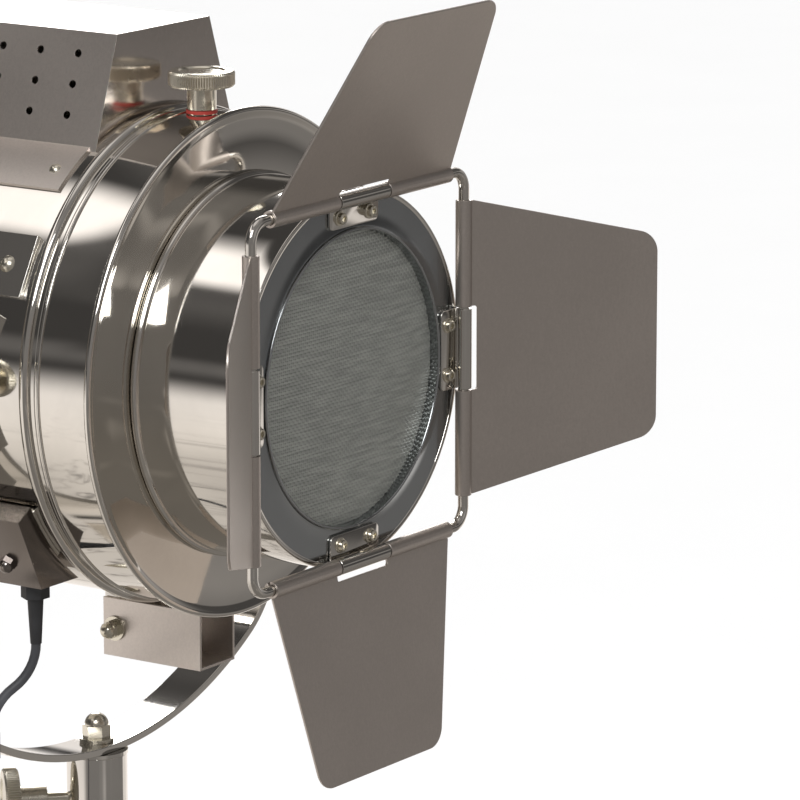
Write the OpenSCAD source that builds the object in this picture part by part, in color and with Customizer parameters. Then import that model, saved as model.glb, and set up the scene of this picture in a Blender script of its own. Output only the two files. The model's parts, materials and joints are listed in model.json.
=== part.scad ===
// Tripod floor lamp with a studio spotlight head, four barn doors and a folding three-leg stand.
// Units are millimetres, +Z is up, and the lamp shines towards -Y.

/* [Overall] */
// Height of the lens axis above the floor
lens_height = 1450; // [1380:10:1800]
// Height of the leg hinges above the floor
hinge_height = 850; // [760:10:960]
// Angle of each leg from the vertical
leg_angle = 22; // [18:1:26]

/* [Legs] */
// Distance of each leg hinge from the mast axis
hinge_r = 55; // [52:1:66]
// Width of a leg across its two rails
leg_w = 52; // [46:1:62]
// Thickness of one rail
rail_t = 14; // [10:1:16]
// Depth of a rail
rail_d = 26; // [22:1:32]
// Length of the rails below the hinge
rail_len = 500; // [440:10:560]
// Length of slider that stays between the rails
slider_overlap = 160; // [120:10:220]
// Side clearance of the slider between its rails
slider_gap = 0.3; // [0.2:0.1:0.6]
// Radius of the rubber foot
foot_r = 14; // [12.5:0.5:18]

/* [Mast] */
// Outer diameter of the mast tube
mast_d = 32; // [28:1:38]
// Wall of the mast tube
mast_wall = 2; // [1.5:0.5:3]
// Diameter of the hub boss
hub_d = 60; // [54:1:66]
// Height of the hub boss
hub_h = 92; // [80:1:110]

/* [Yoke] */
// Gap between the drum and the inside of a yoke arm
arm_gap = 19; // [19:1:40]
// Width of the yoke band
band_w = 24; // [20:1:30]
// Thickness of the yoke band
band_t = 4; // [3:0.5:5]
// Gap under the drum to the inside of the yoke's bottom curve
under_gap = 89; // [86:1:120]
// Bend radius at the yoke's corners
yoke_bend = 60; // [40:1:70]

/* [Head] */
// Outer diameter of the drum
drum_d = 252; // [210:2:300]
// Thickness of the spun sheet
sheet = 1.5; // [1:0.1:2]
// Length of the drum behind the trunnion axis
drum_back = 145; // [120:1:150]
// Distance from the trunnion axis forward to the drum's front seam
drum_front = 61; // [56:1:66]
// Length of the front pan
pan_len = 36; // [34:1:50]
// Height of the bead around the drum's front
bead_h = 3; // [2:0.5:4]
// Width of the bead around the drum's front
bead_w = 12; // [8:1:12]
// How far the flange at the front of the pan stands out past the drum
flange_out = 5; // [4:1:30]
// Outer diameter of the snoot
snoot_d = 193; // [180:1:200]
// Length of the snoot
snoot_len = 66; // [50:1:70]
// Clear diameter of the mesh screen
screen_d = 150; // [130:1:154]
// Width of the vent housing at its top
vent_top_w = 78; // [60:1:90]
// Width of the vent housing where it meets the drum
vent_foot_w = 116; // [100:1:130]
// Height of the vent housing's top above the drum
vent_h = 43; // [36:1:50]
// Length of the vent housing
vent_len = 150; // [130:1:170]
// Diameter of the holes in the vent's sides
vent_hole_d = 4.2; // [3:0.1:6]

/* [Barn doors] */
// Side of the square wire frame between rod centres
frame_side = 186; // [180:1:200]
// Diameter of the wire frame's rod
rod_d = 5.6; // [4:0.1:6.4]
// Bend radius at the wire frame's corners
frame_bend = 10; // [8:1:12]
// Length of a door from its hinge rod
door_len = 108; // [90:1:120]
// Width of a door at its hinge
door_w = 155; // [140:1:158]
// Width of a door at its outer edge
door_tip_w = 108; // [90:1:120]
// Thickness of a door
door_t = 1.5; // [1:0.1:2]
// Radius of a door's outer corners
door_corner = 12; // [8:1:20]
// Length of a hinge bracket's knuckle
bracket_w = 42; // [36:1:50]

/* [Knobs] */
// Diameter of the knurled knobs
knob_d = 34; // [28:1:36]
// Thickness of a knob's knurled rim
knob_t = 8; // [6:1:10]

/* [Cord] */
// Diameter of the mains cord
cord_d = 5; // [4:0.5:8]

/* [Hidden] */

$fn = 64;
eps = 0.01;
run_gap = 0.08;   // radial running clearance of a pin in its bore
seat_gap = 0.3;   // clearance between faces of bodies that move past each other

// Stand
leg_turns = [-90, 30, 150];   // front leg first, then the two rear legs
foot_reach = hinge_r + hinge_height * tan(leg_angle);
foot_half = foot_r / cos(leg_angle);
stand_y = (foot_reach + foot_half - (foot_reach / 2 + foot_half)) / 2;
leg_len = hinge_height / cos(leg_angle);
pin_r = 4;
lug_t = 8;
lug_r = 14;
slider_w = leg_w - 2 * rail_t - 2 * slider_gap;
slider_d = rail_d - 4;
head_block_w = leg_w - 2 * rail_t;
rail_start = 28;
collar_h = 26;
collar_wall = 4;
collar_z = -rail_len + collar_h + 6;
leg_knob_z = collar_z - collar_h / 2;
foot_sleeve = 34;
mast_r = mast_d / 2;
mast_bore_r = mast_r - mast_wall;
hub_r = hub_d / 2;
hub_top = hinge_height + hub_h / 2;
mast_foot = hinge_height - hub_h / 2 + 10;

// Yoke
drum_r = drum_d / 2;
arm_in = drum_r + arm_gap;
arm_out = arm_in + band_t;
yoke_in_r = drum_r + under_gap;
yoke_r = yoke_in_r + band_t;
bend_z = -sqrt(pow(yoke_r - yoke_bend, 2) - pow(arm_out - yoke_bend, 2));
bend_turn = asin((arm_out - yoke_bend) / (yoke_r - yoke_bend));
ear_r = 19;
spigot_flange_t = 2;
mast_top = lens_height - yoke_r - spigot_flange_t - 0.1;
spigot_len = 60;
thumb_z = mast_top - 24;
thumb_turn = 135;
thumb_out = 11;
stud_r = 4;
tilt_washer_t = 2;

// Head, measured from the trunnion axis: x right, y back, z up
pan_back = -drum_front - seat_gap;
pan_front = -drum_front - pan_len;
flange_r = drum_r + flange_out;
rim_r = 2;
snoot_r = snoot_d / 2;
snoot_front = pan_front - snoot_len - 1.5;
screen_r = screen_d / 2;
lip_t = 1.2;
vent_front = -drum_front + bead_w + 0.5;
vent_top_z = drum_r + vent_h;
vent_foot_z = sqrt(pow(drum_r, 2) - pow(vent_foot_w / 2, 2));
vent_lean = atan((vent_foot_w - vent_top_w) / 2 / (vent_top_z - vent_foot_z));
knob_y = -drum_front - 11;
knob_seat_z = drum_r + 0.3;
washer_h = 1.6;
tab_top = drum_r - 6;
tab_t = 3;
channel_w = 30;
channel_deep = 36;
channel_front = pan_back - 18;
channel_back = -17;
hinge_y = -24.5;
hinge_z = -drum_r - 21;
lug_half = channel_w / 2 - sheet - 0.5;
bolt_r = 3;
frame_y = snoot_front - 5;
frame_half = frame_side / 2;
rod_r = rod_d / 2;
knuckle_r = rod_r + 1.5;
knuckle_bore_r = rod_r + run_gap;
plate_front = snoot_front - 1.5;
screw_r = 2;
screw_spread = 13;
screw_in = 9.5;
strap_w = 33;
strap_t = 2;
strap_up = 29;
strap_down = 37;
pad_x = arm_in - tilt_washer_t;
pad_half = 22;
box_y0 = -48;
box_y1 = 6;
cap_y = drum_back;
holder_y = 62;
switch_x = 45;
switch_z = -40;
lever_pin_r = 1;

// Doors: name order top, right, bottom, left; turn about the lens axis and forward lean at rest
door_turns = [0, 90, 180, -90];
door_leans = [26, 35, 7, 30];

// Cord: clips that hold it and the runs between them
cord_r = cord_d / 2;
clip_bore_r = cord_r + 0.15;
clip_r = cord_r + 2;
clip_h = 14;
gland_pos = [-0.73 * drum_r, -33, -0.825 * drum_r];
gland_hex_h = 9;
relief_h = 24;
yoke_clip_turn = 31;
yoke_clip_pos = [-yoke_in_r * sin(yoke_clip_turn), -18, -yoke_in_r * cos(yoke_clip_turn) - 11];
yoke_clip_h = 13;
mast_clip_off = mast_r + cord_r + 3;
mast_clip_pos = [-0.868 * mast_clip_off, 0.496 * mast_clip_off, lens_height - 392];
hub_clip_pos = [0, 68, hinge_height + 18];
coil_centre = [0, 165, 0];
coil_mean_r = 36;
coil_half = 2 * cord_d;
coil_h = 2 * cord_d;
coil_side = coil_mean_r + coil_half - cord_r;
plug_turn = 8;
on_floor = cord_r + 0.05;

nickel = [0.80, 0.77, 0.72];
warm_nickel = [0.78, 0.74, 0.66];
dark_wood = [0.16, 0.10, 0.07];
rubber = [0.06, 0.06, 0.06];
charcoal = [0.17, 0.17, 0.18];
mesh_grey = [0.50, 0.51, 0.50];
washer_red = [0.58, 0.16, 0.14];

// ---------- frames of reference ----------

module at_stand() {
    translate([0, stand_y, 0]) children();
}

module at_head() {
    translate([0, stand_y, lens_height]) children();
}

module at_hinge(turn) {
    at_stand() translate([0, 0, hinge_height]) rotate([0, 0, turn]) translate([hinge_r, 0, 0]) children();
}

module at_leg(turn) {
    at_hinge(turn) rotate([0, -leg_angle, 0]) children();
}

// Local +Z becomes the direction back along the lens axis
module along_lens(y = 0) {
    translate([0, y, 0]) rotate([-90, 0, 0]) children();
}

// Local +Z becomes +X
module along_x(x = 0) {
    translate([x, 0, 0]) rotate([0, 90, 0]) children();
}

// A door's own frame: hinge rod along X at the origin, the door standing up in +Z
module at_door(k) {
    at_head() rotate([0, door_turns[k], 0]) translate([0, frame_y, frame_half]) children();
}

// ---------- shared shapes ----------

module block(x, y, z) {
    translate([x[0], y[0], z[0]]) cube([x[1] - x[0], y[1] - y[0], z[1] - z[0]]);
}

module tube(r_out, r_in, h) {
    difference() {
        cylinder(r = r_out, h = h);
        translate([0, 0, -1]) cylinder(r = r_in, h = h + 2);
    }
}

// Knurled thumb knob: face at z = 0, shank towards -Z
module thumb_knob(stem_r, stem_h, shank_r, shank_len) {
    translate([0, 0, stem_h]) cylinder(r = knob_d / 2, h = knob_t);
    translate([0, 0, stem_h + knob_t - eps]) cylinder(r1 = knob_d / 2 - 2, r2 = knob_d / 2 - 6, h = 1.5);
    cylinder(r = stem_r, h = stem_h + eps);
    translate([0, 0, -shank_len]) cylinder(r = shank_r, h = shank_len + eps);
}

// Domed nut with its washer, seated at z = 0 and pointing to +Z
module acorn_nut(flat_r, washer_t = 1.2) {
    cylinder(r = flat_r + 1.5, h = washer_t);
    translate([0, 0, washer_t - eps]) cylinder(r = flat_r, h = flat_r * 0.9, $fn = 6);
    translate([0, 0, washer_t + flat_r * 0.9 - eps]) intersection() {
        sphere(r = flat_r * 0.86);
        cylinder(r = flat_r, h = flat_r);
    }
}

// Low round screw head, seated at z = 0
module pan_head(r) {
    intersection() {
        translate([0, 0, -r * 0.6]) sphere(r = r * 1.166);
        cylinder(r = r * 1.2, h = r);
    }
}

// Points of an arc in a plane, as [x, y] pairs
function arc(c, r, a0, a1, n) = [
    for (i = [0:n])
        let (a = a0 + (a1 - a0) * i / n)
        c + r * [cos(a), sin(a)]
];

// ---------- cord ----------

function unit(v) = v / norm(v);
function route_dir(p, i) = unit(p[min(i + 1, len(p) - 1)] - p[max(i - 1, 0)]);
function side_of(d) = unit(cross(d, abs(d[1]) > 0.9 ? [1, 0, 0] : [0, 1, 0]));

// Point between b and c on a smooth curve through a, b, c and d
function between(a, b, c, d, t) =
    0.5 * (2 * b + (c - a) * t + (2 * a - 5 * b + 4 * c - d) * t * t + (3 * b - a - 3 * c + d) * pow(t, 3));
function smooth(p, n) = [
    for (i = [0:len(p) - 2])
        for (s = [0:n - 1])
            between(p[max(i - 1, 0)], p[i], p[i + 1], p[min(i + 2, len(p) - 1)], s / n),
    p[len(p) - 1]
];

// Two equal arcs that carry a vertical cord from a down and across to b, where it's vertical again
function s_bend(a, b, n = 5) =
    let (flat = [b[0] - a[0], b[1] - a[1], 0], off = norm(flat), drop = a[2] - b[2],
        r = (drop * drop + off * off) / (4 * off), step = asin(drop / (2 * r)) / n,
        bend = [for (i = [0:n]) flat / off * r * (1 - cos(i * step)) - [0, 0, r * sin(i * step)]])
    concat([for (i = [0:n]) a + bend[i]], [for (i = [n - 1:-1:0]) b - bend[i]]);

// From inside the gland, straight through its taper, to the top of the yoke's clip
upper_route = concat([gland_pos - [0, 0, 10], gland_pos - [0, 0, 18]],
    s_bend(gland_pos - [0, 0, gland_hex_h + relief_h], yoke_clip_pos + [0, 0, yoke_clip_h + 0.3]));
middle_route = s_bend(yoke_clip_pos + [0, 0, lens_height - 0.3], mast_clip_pos + [0, 0, clip_h + 0.3]);
lower_route = concat(
    s_bend(mast_clip_pos - [0, 0, 0.3], hub_clip_pos + [0, 0, clip_h]),
    [hub_clip_pos, [0, 70, hinge_height - 110], [0, 73, hinge_height - 310], [0, 77, 300], [0, 80, 190],
        [1, 84, 100], [2, 88, 58], [6, 94, 30], [14, 102, 12], [26, 113, on_floor + 1],
        [coil_side - 9.75, 126, on_floor + 0.1], [coil_side - 2.75, 142, on_floor],
        [coil_side - 0.25, 160, on_floor]]);

module cord_tube(route, r, sides = 10) {
    n = len(route);
    rings = [for (i = [0:n - 1])
        let (d = route_dir(route, i), u = side_of(d), v = cross(d, u))
        for (k = [0:sides - 1])
            route[i] + r * (cos(360 * k / sides) * u + sin(360 * k / sides) * v)];
    walls = [for (i = [0:n - 2])
        for (k = [0:sides - 1])
            let (a = i * sides, b = a + sides, next = (k + 1) % sides)
            [a + k, b + k, b + next, a + next]];
    first = [for (k = [0:sides - 1]) k];
    last = [for (k = [sides - 1:-1:0]) (n - 1) * sides + k];
    polyhedron(points = rings, faces = concat(walls, [first, last]), convexity = 8);
}

// ---------- stand ----------

module hub() {
    color(nickel) at_stand() difference() {
        union() {
            translate([0, 0, hinge_height - hub_h / 2]) cylinder(r = hub_r, h = hub_h);
            translate([0, 0, hub_top - eps]) cylinder(r = mast_r + 5, h = 14);
            for (turn = leg_turns) translate([0, 0, hinge_height]) rotate([0, 0, turn]) {
                for (s = [-1, 1]) {
                    y = s > 0 ? head_block_w / 2 + seat_gap : -head_block_w / 2 - seat_gap - lug_t;
                    translate([hinge_r, y, 0]) rotate([-90, 0, 0]) cylinder(r = lug_r, h = lug_t);
                    block([10, hinge_r], [y, y + lug_t], [-lug_r, lug_r]);
                }
            }
            // Rear ear that carries the cord clip
            block([-7, 7], [hub_r - 3, 62], [hinge_height + 22, hinge_height + 28]);
        }
        translate([0, 0, mast_foot]) cylinder(r = mast_r + run_gap / 2, h = 200);
        translate([0, 0, hinge_height - hub_h / 2 - 1]) cylinder(r = mast_r - 5, h = 60);
        for (turn = leg_turns) translate([0, 0, hinge_height]) rotate([0, 0, turn])
            translate([hinge_r, 40, 0]) rotate([90, 0, 0]) cylinder(r = pin_r + run_gap, h = 80);
    }
}

module mast_tube() {
    color(nickel) at_stand() difference() {
        translate([0, 0, mast_foot]) tube(mast_r, mast_bore_r, mast_top - mast_foot);
        translate([0, 0, thumb_z]) rotate([0, 0, thumb_turn]) along_x()
            cylinder(r = bolt_r + run_gap, h = 40);
    }
}

module leg_pins() {
    grip = head_block_w / 2 + seat_gap + lug_t;
    color(warm_nickel) for (turn = leg_turns) at_hinge(turn) {
        translate([0, grip + 1, 0]) rotate([90, 0, 0]) cylinder(r = pin_r, h = 2 * grip + 2);
        translate([0, grip, 0]) rotate([-90, 0, 0]) acorn_nut(6.5);
        translate([0, -grip, 0]) rotate([90, 0, 0]) cylinder(r = 7, h = 5, $fn = 6);
    }
}

// Band round the mast with its cord ring, and the ring on the hub's rear ear
module mast_clips() {
    ear_top = hinge_height + 28;
    color(charcoal) at_stand() {
        difference() {
            union() {
                translate([0, 0, mast_clip_pos[2]]) cylinder(r = mast_r + 2, h = clip_h);
                translate(mast_clip_pos) cylinder(r = clip_r, h = clip_h);
            }
            translate([0, 0, mast_clip_pos[2] - 1]) cylinder(r = mast_r + run_gap / 2, h = clip_h + 2);
            translate(mast_clip_pos - [0, 0, 1]) cylinder(r = clip_bore_r, h = clip_h + 2);
        }
        difference() {
            union() {
                translate(hub_clip_pos) cylinder(r = clip_r, h = clip_h);
                block([-7, 7], [50, hub_clip_pos[1] - 2], [ear_top, ear_top + 2]);
            }
            translate(hub_clip_pos - [0, 0, 1]) cylinder(r = clip_bore_r, h = clip_h + 2);
            block([-8, 8], [0, 62.1], [hinge_height + 10, ear_top]);
        }
    }
}

module leg_rails(turn) {
    color(dark_wood) at_leg(turn) for (s = [-1, 1])
        translate([-rail_d / 2, s > 0 ? leg_w / 2 - rail_t : -leg_w / 2, -rail_len])
            cube([rail_d, rail_t, rail_len - rail_start]);
}

module leg_fittings(turn) {
    color(nickel) at_leg(turn) {
        // Head block between the hub lugs and the rails
        difference() {
            union() {
                translate([0, -head_block_w / 2, 0]) rotate([-90, 0, 0]) cylinder(r = 12, h = head_block_w);
                block([-12, 12], [-head_block_w / 2, head_block_w / 2], [-64, 0]);
            }
            translate([0, 30, 0]) rotate([90, 0, 0]) cylinder(r = pin_r + run_gap, h = 60);
        }
        // Through bolts of the head block
        for (z = [-40, -56]) translate([0, leg_w / 2, z]) rotate([-90, 0, 0]) pan_head(4.5);
        for (z = [-40, -56]) translate([0, -leg_w / 2, z]) rotate([90, 0, 0]) pan_head(4.5);
        // Clamp collar round the lower end of the rails
        difference() {
            block([-rail_d / 2 - collar_wall, rail_d / 2 + collar_wall],
                [-leg_w / 2 - collar_wall, leg_w / 2 + collar_wall], [collar_z - collar_h, collar_z]);
            block([-rail_d / 2, rail_d / 2], [-leg_w / 2, leg_w / 2],
                [collar_z - collar_h - 1, collar_z + 1]);
            translate([0, 0, leg_knob_z]) along_x() cylinder(r = bolt_r + run_gap, h = 60);
        }
    }
}

module leg_slider(turn) {
    color(dark_wood) at_leg(turn) block([-slider_d / 2, slider_d / 2], [-slider_w / 2, slider_w / 2],
        [-leg_len + foot_sleeve - 10, -rail_len + slider_overlap]);
}

module leg_foot(turn) {
    color(rubber) intersection() {
        at_leg(turn) difference() {
            union() {
                translate([0, 0, -leg_len + 4]) cylinder(r1 = foot_r, r2 = foot_r + 1, h = foot_sleeve - 4);
                translate([0, 0, -leg_len - 10]) cylinder(r = foot_r, h = 14 + eps);
            }
            block([-slider_d / 2, slider_d / 2], [-slider_w / 2, slider_w / 2],
                [-leg_len + foot_sleeve - 10, -leg_len + foot_sleeve + 10]);
        }
        block([-900, 900], [-900, 900], [0, 200]);
    }
}

module leg_knob(turn) {
    out = rail_d / 2 + collar_wall;
    color(warm_nickel) at_leg(turn) translate([0, 0, leg_knob_z]) along_x(out + seat_gap)
        thumb_knob(7, 9, bolt_r, out + seat_gap - slider_d / 2 - seat_gap);
}

// ---------- yoke ----------

// Outline of the yoke band in the XZ plane between two offsets of its outer line
module yoke_outline() {
    half_out = concat(
        arc([0, 0], yoke_r, -90, -90 + bend_turn, 24),
        arc([arm_out - yoke_bend, bend_z], yoke_bend, -90 + bend_turn, 0, 24),
        [[arm_out, 0]]);
    half_in = concat(
        arc([0, 0], yoke_in_r, -90, -90 + bend_turn, 24),
        arc([arm_out - yoke_bend, bend_z], yoke_bend - band_t, -90 + bend_turn, 0, 24),
        [[arm_in, 0]]);
    back_in = [for (i = [len(half_in) - 1:-1:0]) half_in[i]];
    right = concat(half_out, back_in);
    polygon(right);
    mirror([1, 0]) polygon(right);
}

module yoke() {
    color(nickel) at_head() difference() {
        union() {
            translate([0, band_w / 2, 0]) rotate([90, 0, 0]) linear_extrude(band_w) yoke_outline();
            for (s = [-1, 1]) along_x(s > 0 ? arm_in : -arm_out) cylinder(r = ear_r, h = band_t);
        }
        along_x(-300) cylinder(r = stud_r + run_gap, h = 600);
        translate([0, 0, -yoke_r - 5]) cylinder(r = stud_r + 0.1, h = 30);
    }
}

module yoke_spigot() {
    color(nickel) at_head() translate([0, 0, -yoke_r - spigot_flange_t]) {
        cylinder(r = mast_r + 0.5, h = spigot_flange_t);
        translate([0, 0, -spigot_len]) cylinder(r = mast_bore_r - run_gap, h = spigot_len + eps);
        cylinder(r = stud_r, h = spigot_flange_t + band_t + 9.5);
    }
}

module yoke_nut() {
    color(warm_nickel) at_head() translate([0, 0, -yoke_in_r + 0.2]) difference() {
        acorn_nut(7.5, 2);
        translate([0, 0, -1]) cylinder(r = stud_r + run_gap, h = 11);
    }
}

module yoke_clip() {
    color(charcoal) at_head() {
        difference() {
            union() {
                translate(yoke_clip_pos) cylinder(r = clip_r, h = yoke_clip_h);
                rotate([0, yoke_clip_turn, 0]) block([-5, 5], [-16, 4], [-yoke_in_r + 0.1, -yoke_in_r + 2]);
            }
            translate(yoke_clip_pos - [0, 0, 5]) cylinder(r = clip_bore_r, h = yoke_clip_h + 10);
        }
        rotate([0, yoke_clip_turn, 0]) translate([0, -3, -yoke_in_r + 2 - eps]) pan_head(3.5);
    }
}

module mast_thumbscrew() {
    color(warm_nickel) at_stand() translate([0, 0, thumb_z]) rotate([0, 0, thumb_turn])
        along_x(mast_r + thumb_out) thumb_knob(7, 15, bolt_r, thumb_out + mast_wall - 0.2);
}

module tilt_knob(s) {
    color(warm_nickel) at_head() rotate([0, 0, s > 0 ? 0 : 180]) along_x(arm_out + seat_gap)
        difference() {
            thumb_knob(9, 12, 0.1, 0.1);
            translate([0, 0, -1]) cylinder(r = stud_r + run_gap, h = 15);
        }
}

// ---------- head casing ----------

module drum() {
    color(nickel) at_head() difference() {
        union() {
            along_lens(-drum_front) rotate_extrude($fn = 128) polygon(concat(
                [[drum_r - sheet, 0], [drum_r, 0]],
                arc([drum_r, bead_w / 2], bead_h, -90, 90, 12),
                [[drum_r, drum_front + drum_back], [drum_r - sheet, drum_front + drum_back]]));
            // Tab that the top knob clamps
            block([-10, 10], [knob_y - 10, -drum_front + 20], [tab_top - tab_t, tab_top]);
            block([-10, 10], [-drum_front + 4, -drum_front + 20], [tab_top - tab_t, drum_r - 1.2]);
            // Lug of the front hinge
            difference() {
                union() {
                    block([-lug_half, lug_half], [hinge_y - 8, hinge_y + 8], [hinge_z, -drum_r + 2]);
                    translate([0, hinge_y, hinge_z]) along_x(-lug_half) cylinder(r = 8, h = 2 * lug_half);
                }
                along_lens(-drum_front) cylinder(r = drum_r - sheet, h = 200);
            }
        }
        block([-bolt_r - seat_gap, bolt_r + seat_gap], [knob_y - 20, knob_y + bolt_r + 1],
            [tab_top - 10, tab_top + 2]);
        translate([0, hinge_y, hinge_z]) along_x(-40) cylinder(r = bolt_r + run_gap / 2, h = 80);
        // Hot air opening under the vent housing
        block([-22, 22], [vent_front + 20, vent_front + vent_len - 30], [drum_r - 20, drum_r + 5]);
        // Cord entry behind the terminal box
        rotate([0, -90 - strap_down, 0]) translate([0, -35, drum_r]) cylinder(r = 5, h = 40, center = true);
    }
}

module rear_cap() {
    dish = [[0.32 * drum_r, 16.5], [0.63 * drum_r, 12.5], [0.87 * drum_r, 6.5]];
    skirt_r = drum_r - sheet - 0.1;
    color(nickel) at_head() difference() {
        along_lens(cap_y) rotate_extrude($fn = 128) polygon(concat(
            [[0, 16]], [for (p = dish) p - [0, sheet]],
            [[skirt_r - 2.4, 0], [skirt_r - 1.2, -8], [skirt_r, -8], [skirt_r, 0]],
            arc([drum_r, rim_r], rim_r, -90, 90, 8),
            [[drum_r - 3, 2 * rim_r]], [for (i = [2:-1:0]) dish[i]], [[0, 16 + sheet]]));
        translate([switch_x, cap_y, switch_z]) along_lens() cylinder(r = 6.1, h = 40);
    }
}

module vent_outline(inset) {
    polygon([
        [-vent_foot_w / 2 + inset, vent_foot_z - 20], [-vent_foot_w / 2 + inset, vent_foot_z],
        [-vent_top_w / 2 + inset, vent_top_z - inset], [vent_top_w / 2 - inset, vent_top_z - inset],
        [vent_foot_w / 2 - inset, vent_foot_z], [vent_foot_w / 2 - inset, vent_foot_z - 20]]);
}

module vent_housing() {
    skirt_w = 24;
    hole_pitch = 24;
    row_pitch = 15;
    color(nickel) at_head() difference() {
        union() {
            translate([0, vent_front + vent_len, 0]) rotate([90, 0, 0])
                linear_extrude(vent_len) vent_outline(0);
            // Skirts that lie on the drum
            for (s = [-1, 1]) intersection() {
                along_lens(vent_front + 4) tube(drum_r + sheet, drum_r, vent_len - 8);
                rotate([0, s * 31, 0]) block([-22, 22], [-200, 200], [drum_r - 20, drum_r + 10]);
            }
        }
        translate([0, vent_front + vent_len - sheet, 0]) rotate([90, 0, 0])
            linear_extrude(vent_len - 2 * sheet) vent_outline(sheet);
        along_lens(-100) cylinder(r = drum_r, h = 400, $fn = 128);
        for (s = [-1, 1]) for (row = [0:2]) for (col = [0:5]) {
            z = vent_top_z - 11 - row * row_pitch;
            x = vent_top_w / 2 + (vent_top_z - z) * tan(vent_lean);
            translate([s * x, vent_front + 22 + col * hole_pitch, z]) rotate([0, s * (90 - vent_lean), 0])
                cylinder(r = vent_hole_d / 2, h = 12, center = true);
        }
    }
}

module vent_baffle() {
    half = 28;
    top = vent_top_z - 16;
    color(nickel) at_head() difference() {
        block([-half, half], [vent_front + 14, vent_front + vent_len - 24], [drum_r - 10, top]);
        block([-half + sheet, half - sheet], [vent_front, vent_front + vent_len], [0, top - sheet]);
        along_lens(-100) cylinder(r = drum_r, h = 400, $fn = 128);
    }
}

module case_screws() {
    color(warm_nickel) at_head() {
        for (s = [-1, 1]) for (y = [vent_front + 14, vent_front + vent_len - 14])
            rotate([0, s * 35, 0]) translate([0, y, drum_r + sheet]) pan_head(3.2);
        for (a = [0, 90, 180, 270]) rotate([0, a + 45, 0])
            translate([0, cap_y - 6, drum_r]) pan_head(3.2);
    }
}

// Saddle bracket on one side: an upper and a lower strap along the drum, and the pad that carries the stud
module trunnion_bracket(s) {
    color(nickel) at_head() mirror([s > 0 ? 0 : 1, 0, 0]) {
        difference() {
            union() {
                for (a = [90 - strap_up, 90 + strap_down]) rotate([0, a, 0])
                    block([-strap_w / 2, strap_w / 2], [vent_front + 1, 60], [drum_r - 6, drum_r + strap_t]);
                block([drum_r - 34, pad_x], [-pad_half, pad_half], [-70, 60]);
            }
            block([0, pad_x - 3], [-pad_half + sheet, pad_half - sheet], [-100, 90]);
            block([drum_r + 4, 300], [-100, 100], [44, 100]);
            block([drum_r + 4, 300], [-100, 100], [-100, -44]);
            along_lens(-100) cylinder(r = drum_r + 0.05, h = 400, $fn = 128);
        }
        along_x(pad_x - 3) cylinder(r = stud_r, h = 3 + tilt_washer_t + band_t + 11);
        along_x(pad_x - eps) cylinder(r = 12, h = tilt_washer_t - 0.1);
    }
}

module bracket_bolts() {
    color(warm_nickel) at_head() for (s = [-1, 1]) for (a = [strap_up, -strap_down]) for (y = [-34, 48])
        if (!(s < 0 && a < 0 && y < 0))
            rotate([0, s * (90 - a), 0]) translate([0, y, drum_r + strap_t]) pan_head(4.5);
}

module terminal_box() {
    outline = [[-0.873, -0.46], [-0.984, -0.524], [-0.841, -0.825], [-0.571, -0.825]] * drum_r;
    color(nickel) at_head() {
        difference() {
            translate([0, box_y1, 0]) rotate([90, 0, 0]) linear_extrude(box_y1 - box_y0) polygon(outline);
            along_lens(-100) cylinder(r = drum_r + strap_t + 0.5, h = 400, $fn = 128);
            rotate([0, -90 - strap_down, 0])
                block([-strap_w / 2 - 0.5, strap_w / 2 + 0.5], [-100, 100], [drum_r - 8, drum_r + strap_t]);
            // Notch round the bracket's pad
            block([-drum_r - 4.3, 0], [-pad_half - seat_gap, 100], [-70 - seat_gap, 0]);
            translate(gland_pos - [0, 0, 20]) cylinder(r = 5, h = 40);
        }
        rotate([0, -90 - strap_down - 2, 0]) translate([0, -32, 1.123 * drum_r]) acorn_nut(4.5, 1);
    }
}

// Hex gland with the long taper that keeps the cord from kinking
module cord_gland() {
    color(rubber) at_head() translate(gland_pos) rotate([180, 0, 0]) difference() {
        union() {
            cylinder(r = 7.4, h = gland_hex_h, $fn = 6);
            translate([0, 0, gland_hex_h - eps]) cylinder(r1 = cord_r + 1.7, r2 = cord_r + 0.4, h = relief_h);
            translate([0, 0, -6]) cylinder(r = 4.9, h = 6 + eps);
        }
        translate([0, 0, -7]) cylinder(r = cord_r - 0.5, h = 50);
    }
}

module hinge_bolt() {
    grip = channel_w / 2;
    color(warm_nickel) at_head() translate([0, hinge_y, hinge_z]) {
        along_x(-grip) cylinder(r = bolt_r, h = 2 * grip);
        mirror([1, 0, 0]) along_x(grip + 0.1) acorn_nut(5, 1.2);
        along_x(grip + 0.1) cylinder(r = 5.5, h = 4, $fn = 6);
        for (s = [-1, 1]) along_x(s > 0 ? grip - eps : -grip - 0.1) cylinder(r = bolt_r, h = 0.1 + 2 * eps);
    }
}

// ---------- lamp inside ----------

module lampholder_bracket() {
    color(nickel) at_head() {
        difference() {
            union() {
                block([-16, 16], [holder_y, holder_y + 2], [-drum_r + 4, 26]);
                block([-16, 16], [holder_y - 26, holder_y + 2], [-drum_r - 2, -drum_r + 6]);
            }
            difference() {
                along_lens(-50) cylinder(r = drum_d, h = 300);
                along_lens(-60) cylinder(r = drum_r - sheet, h = 320, $fn = 128);
            }
            along_lens(holder_y - 5) cylinder(r = 10, h = 20);
        }
    }
}

module lampholder() {
    color([0.92, 0.91, 0.88]) at_head() difference() {
        union() {
            along_lens(holder_y - 42) cylinder(r = 19, h = 42);
            along_lens(holder_y - eps) cylinder(r = 10 - run_gap / 2, h = 14);
        }
        along_lens(holder_y - 43) cylinder(r = 13.6, h = 31);
    }
}

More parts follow.
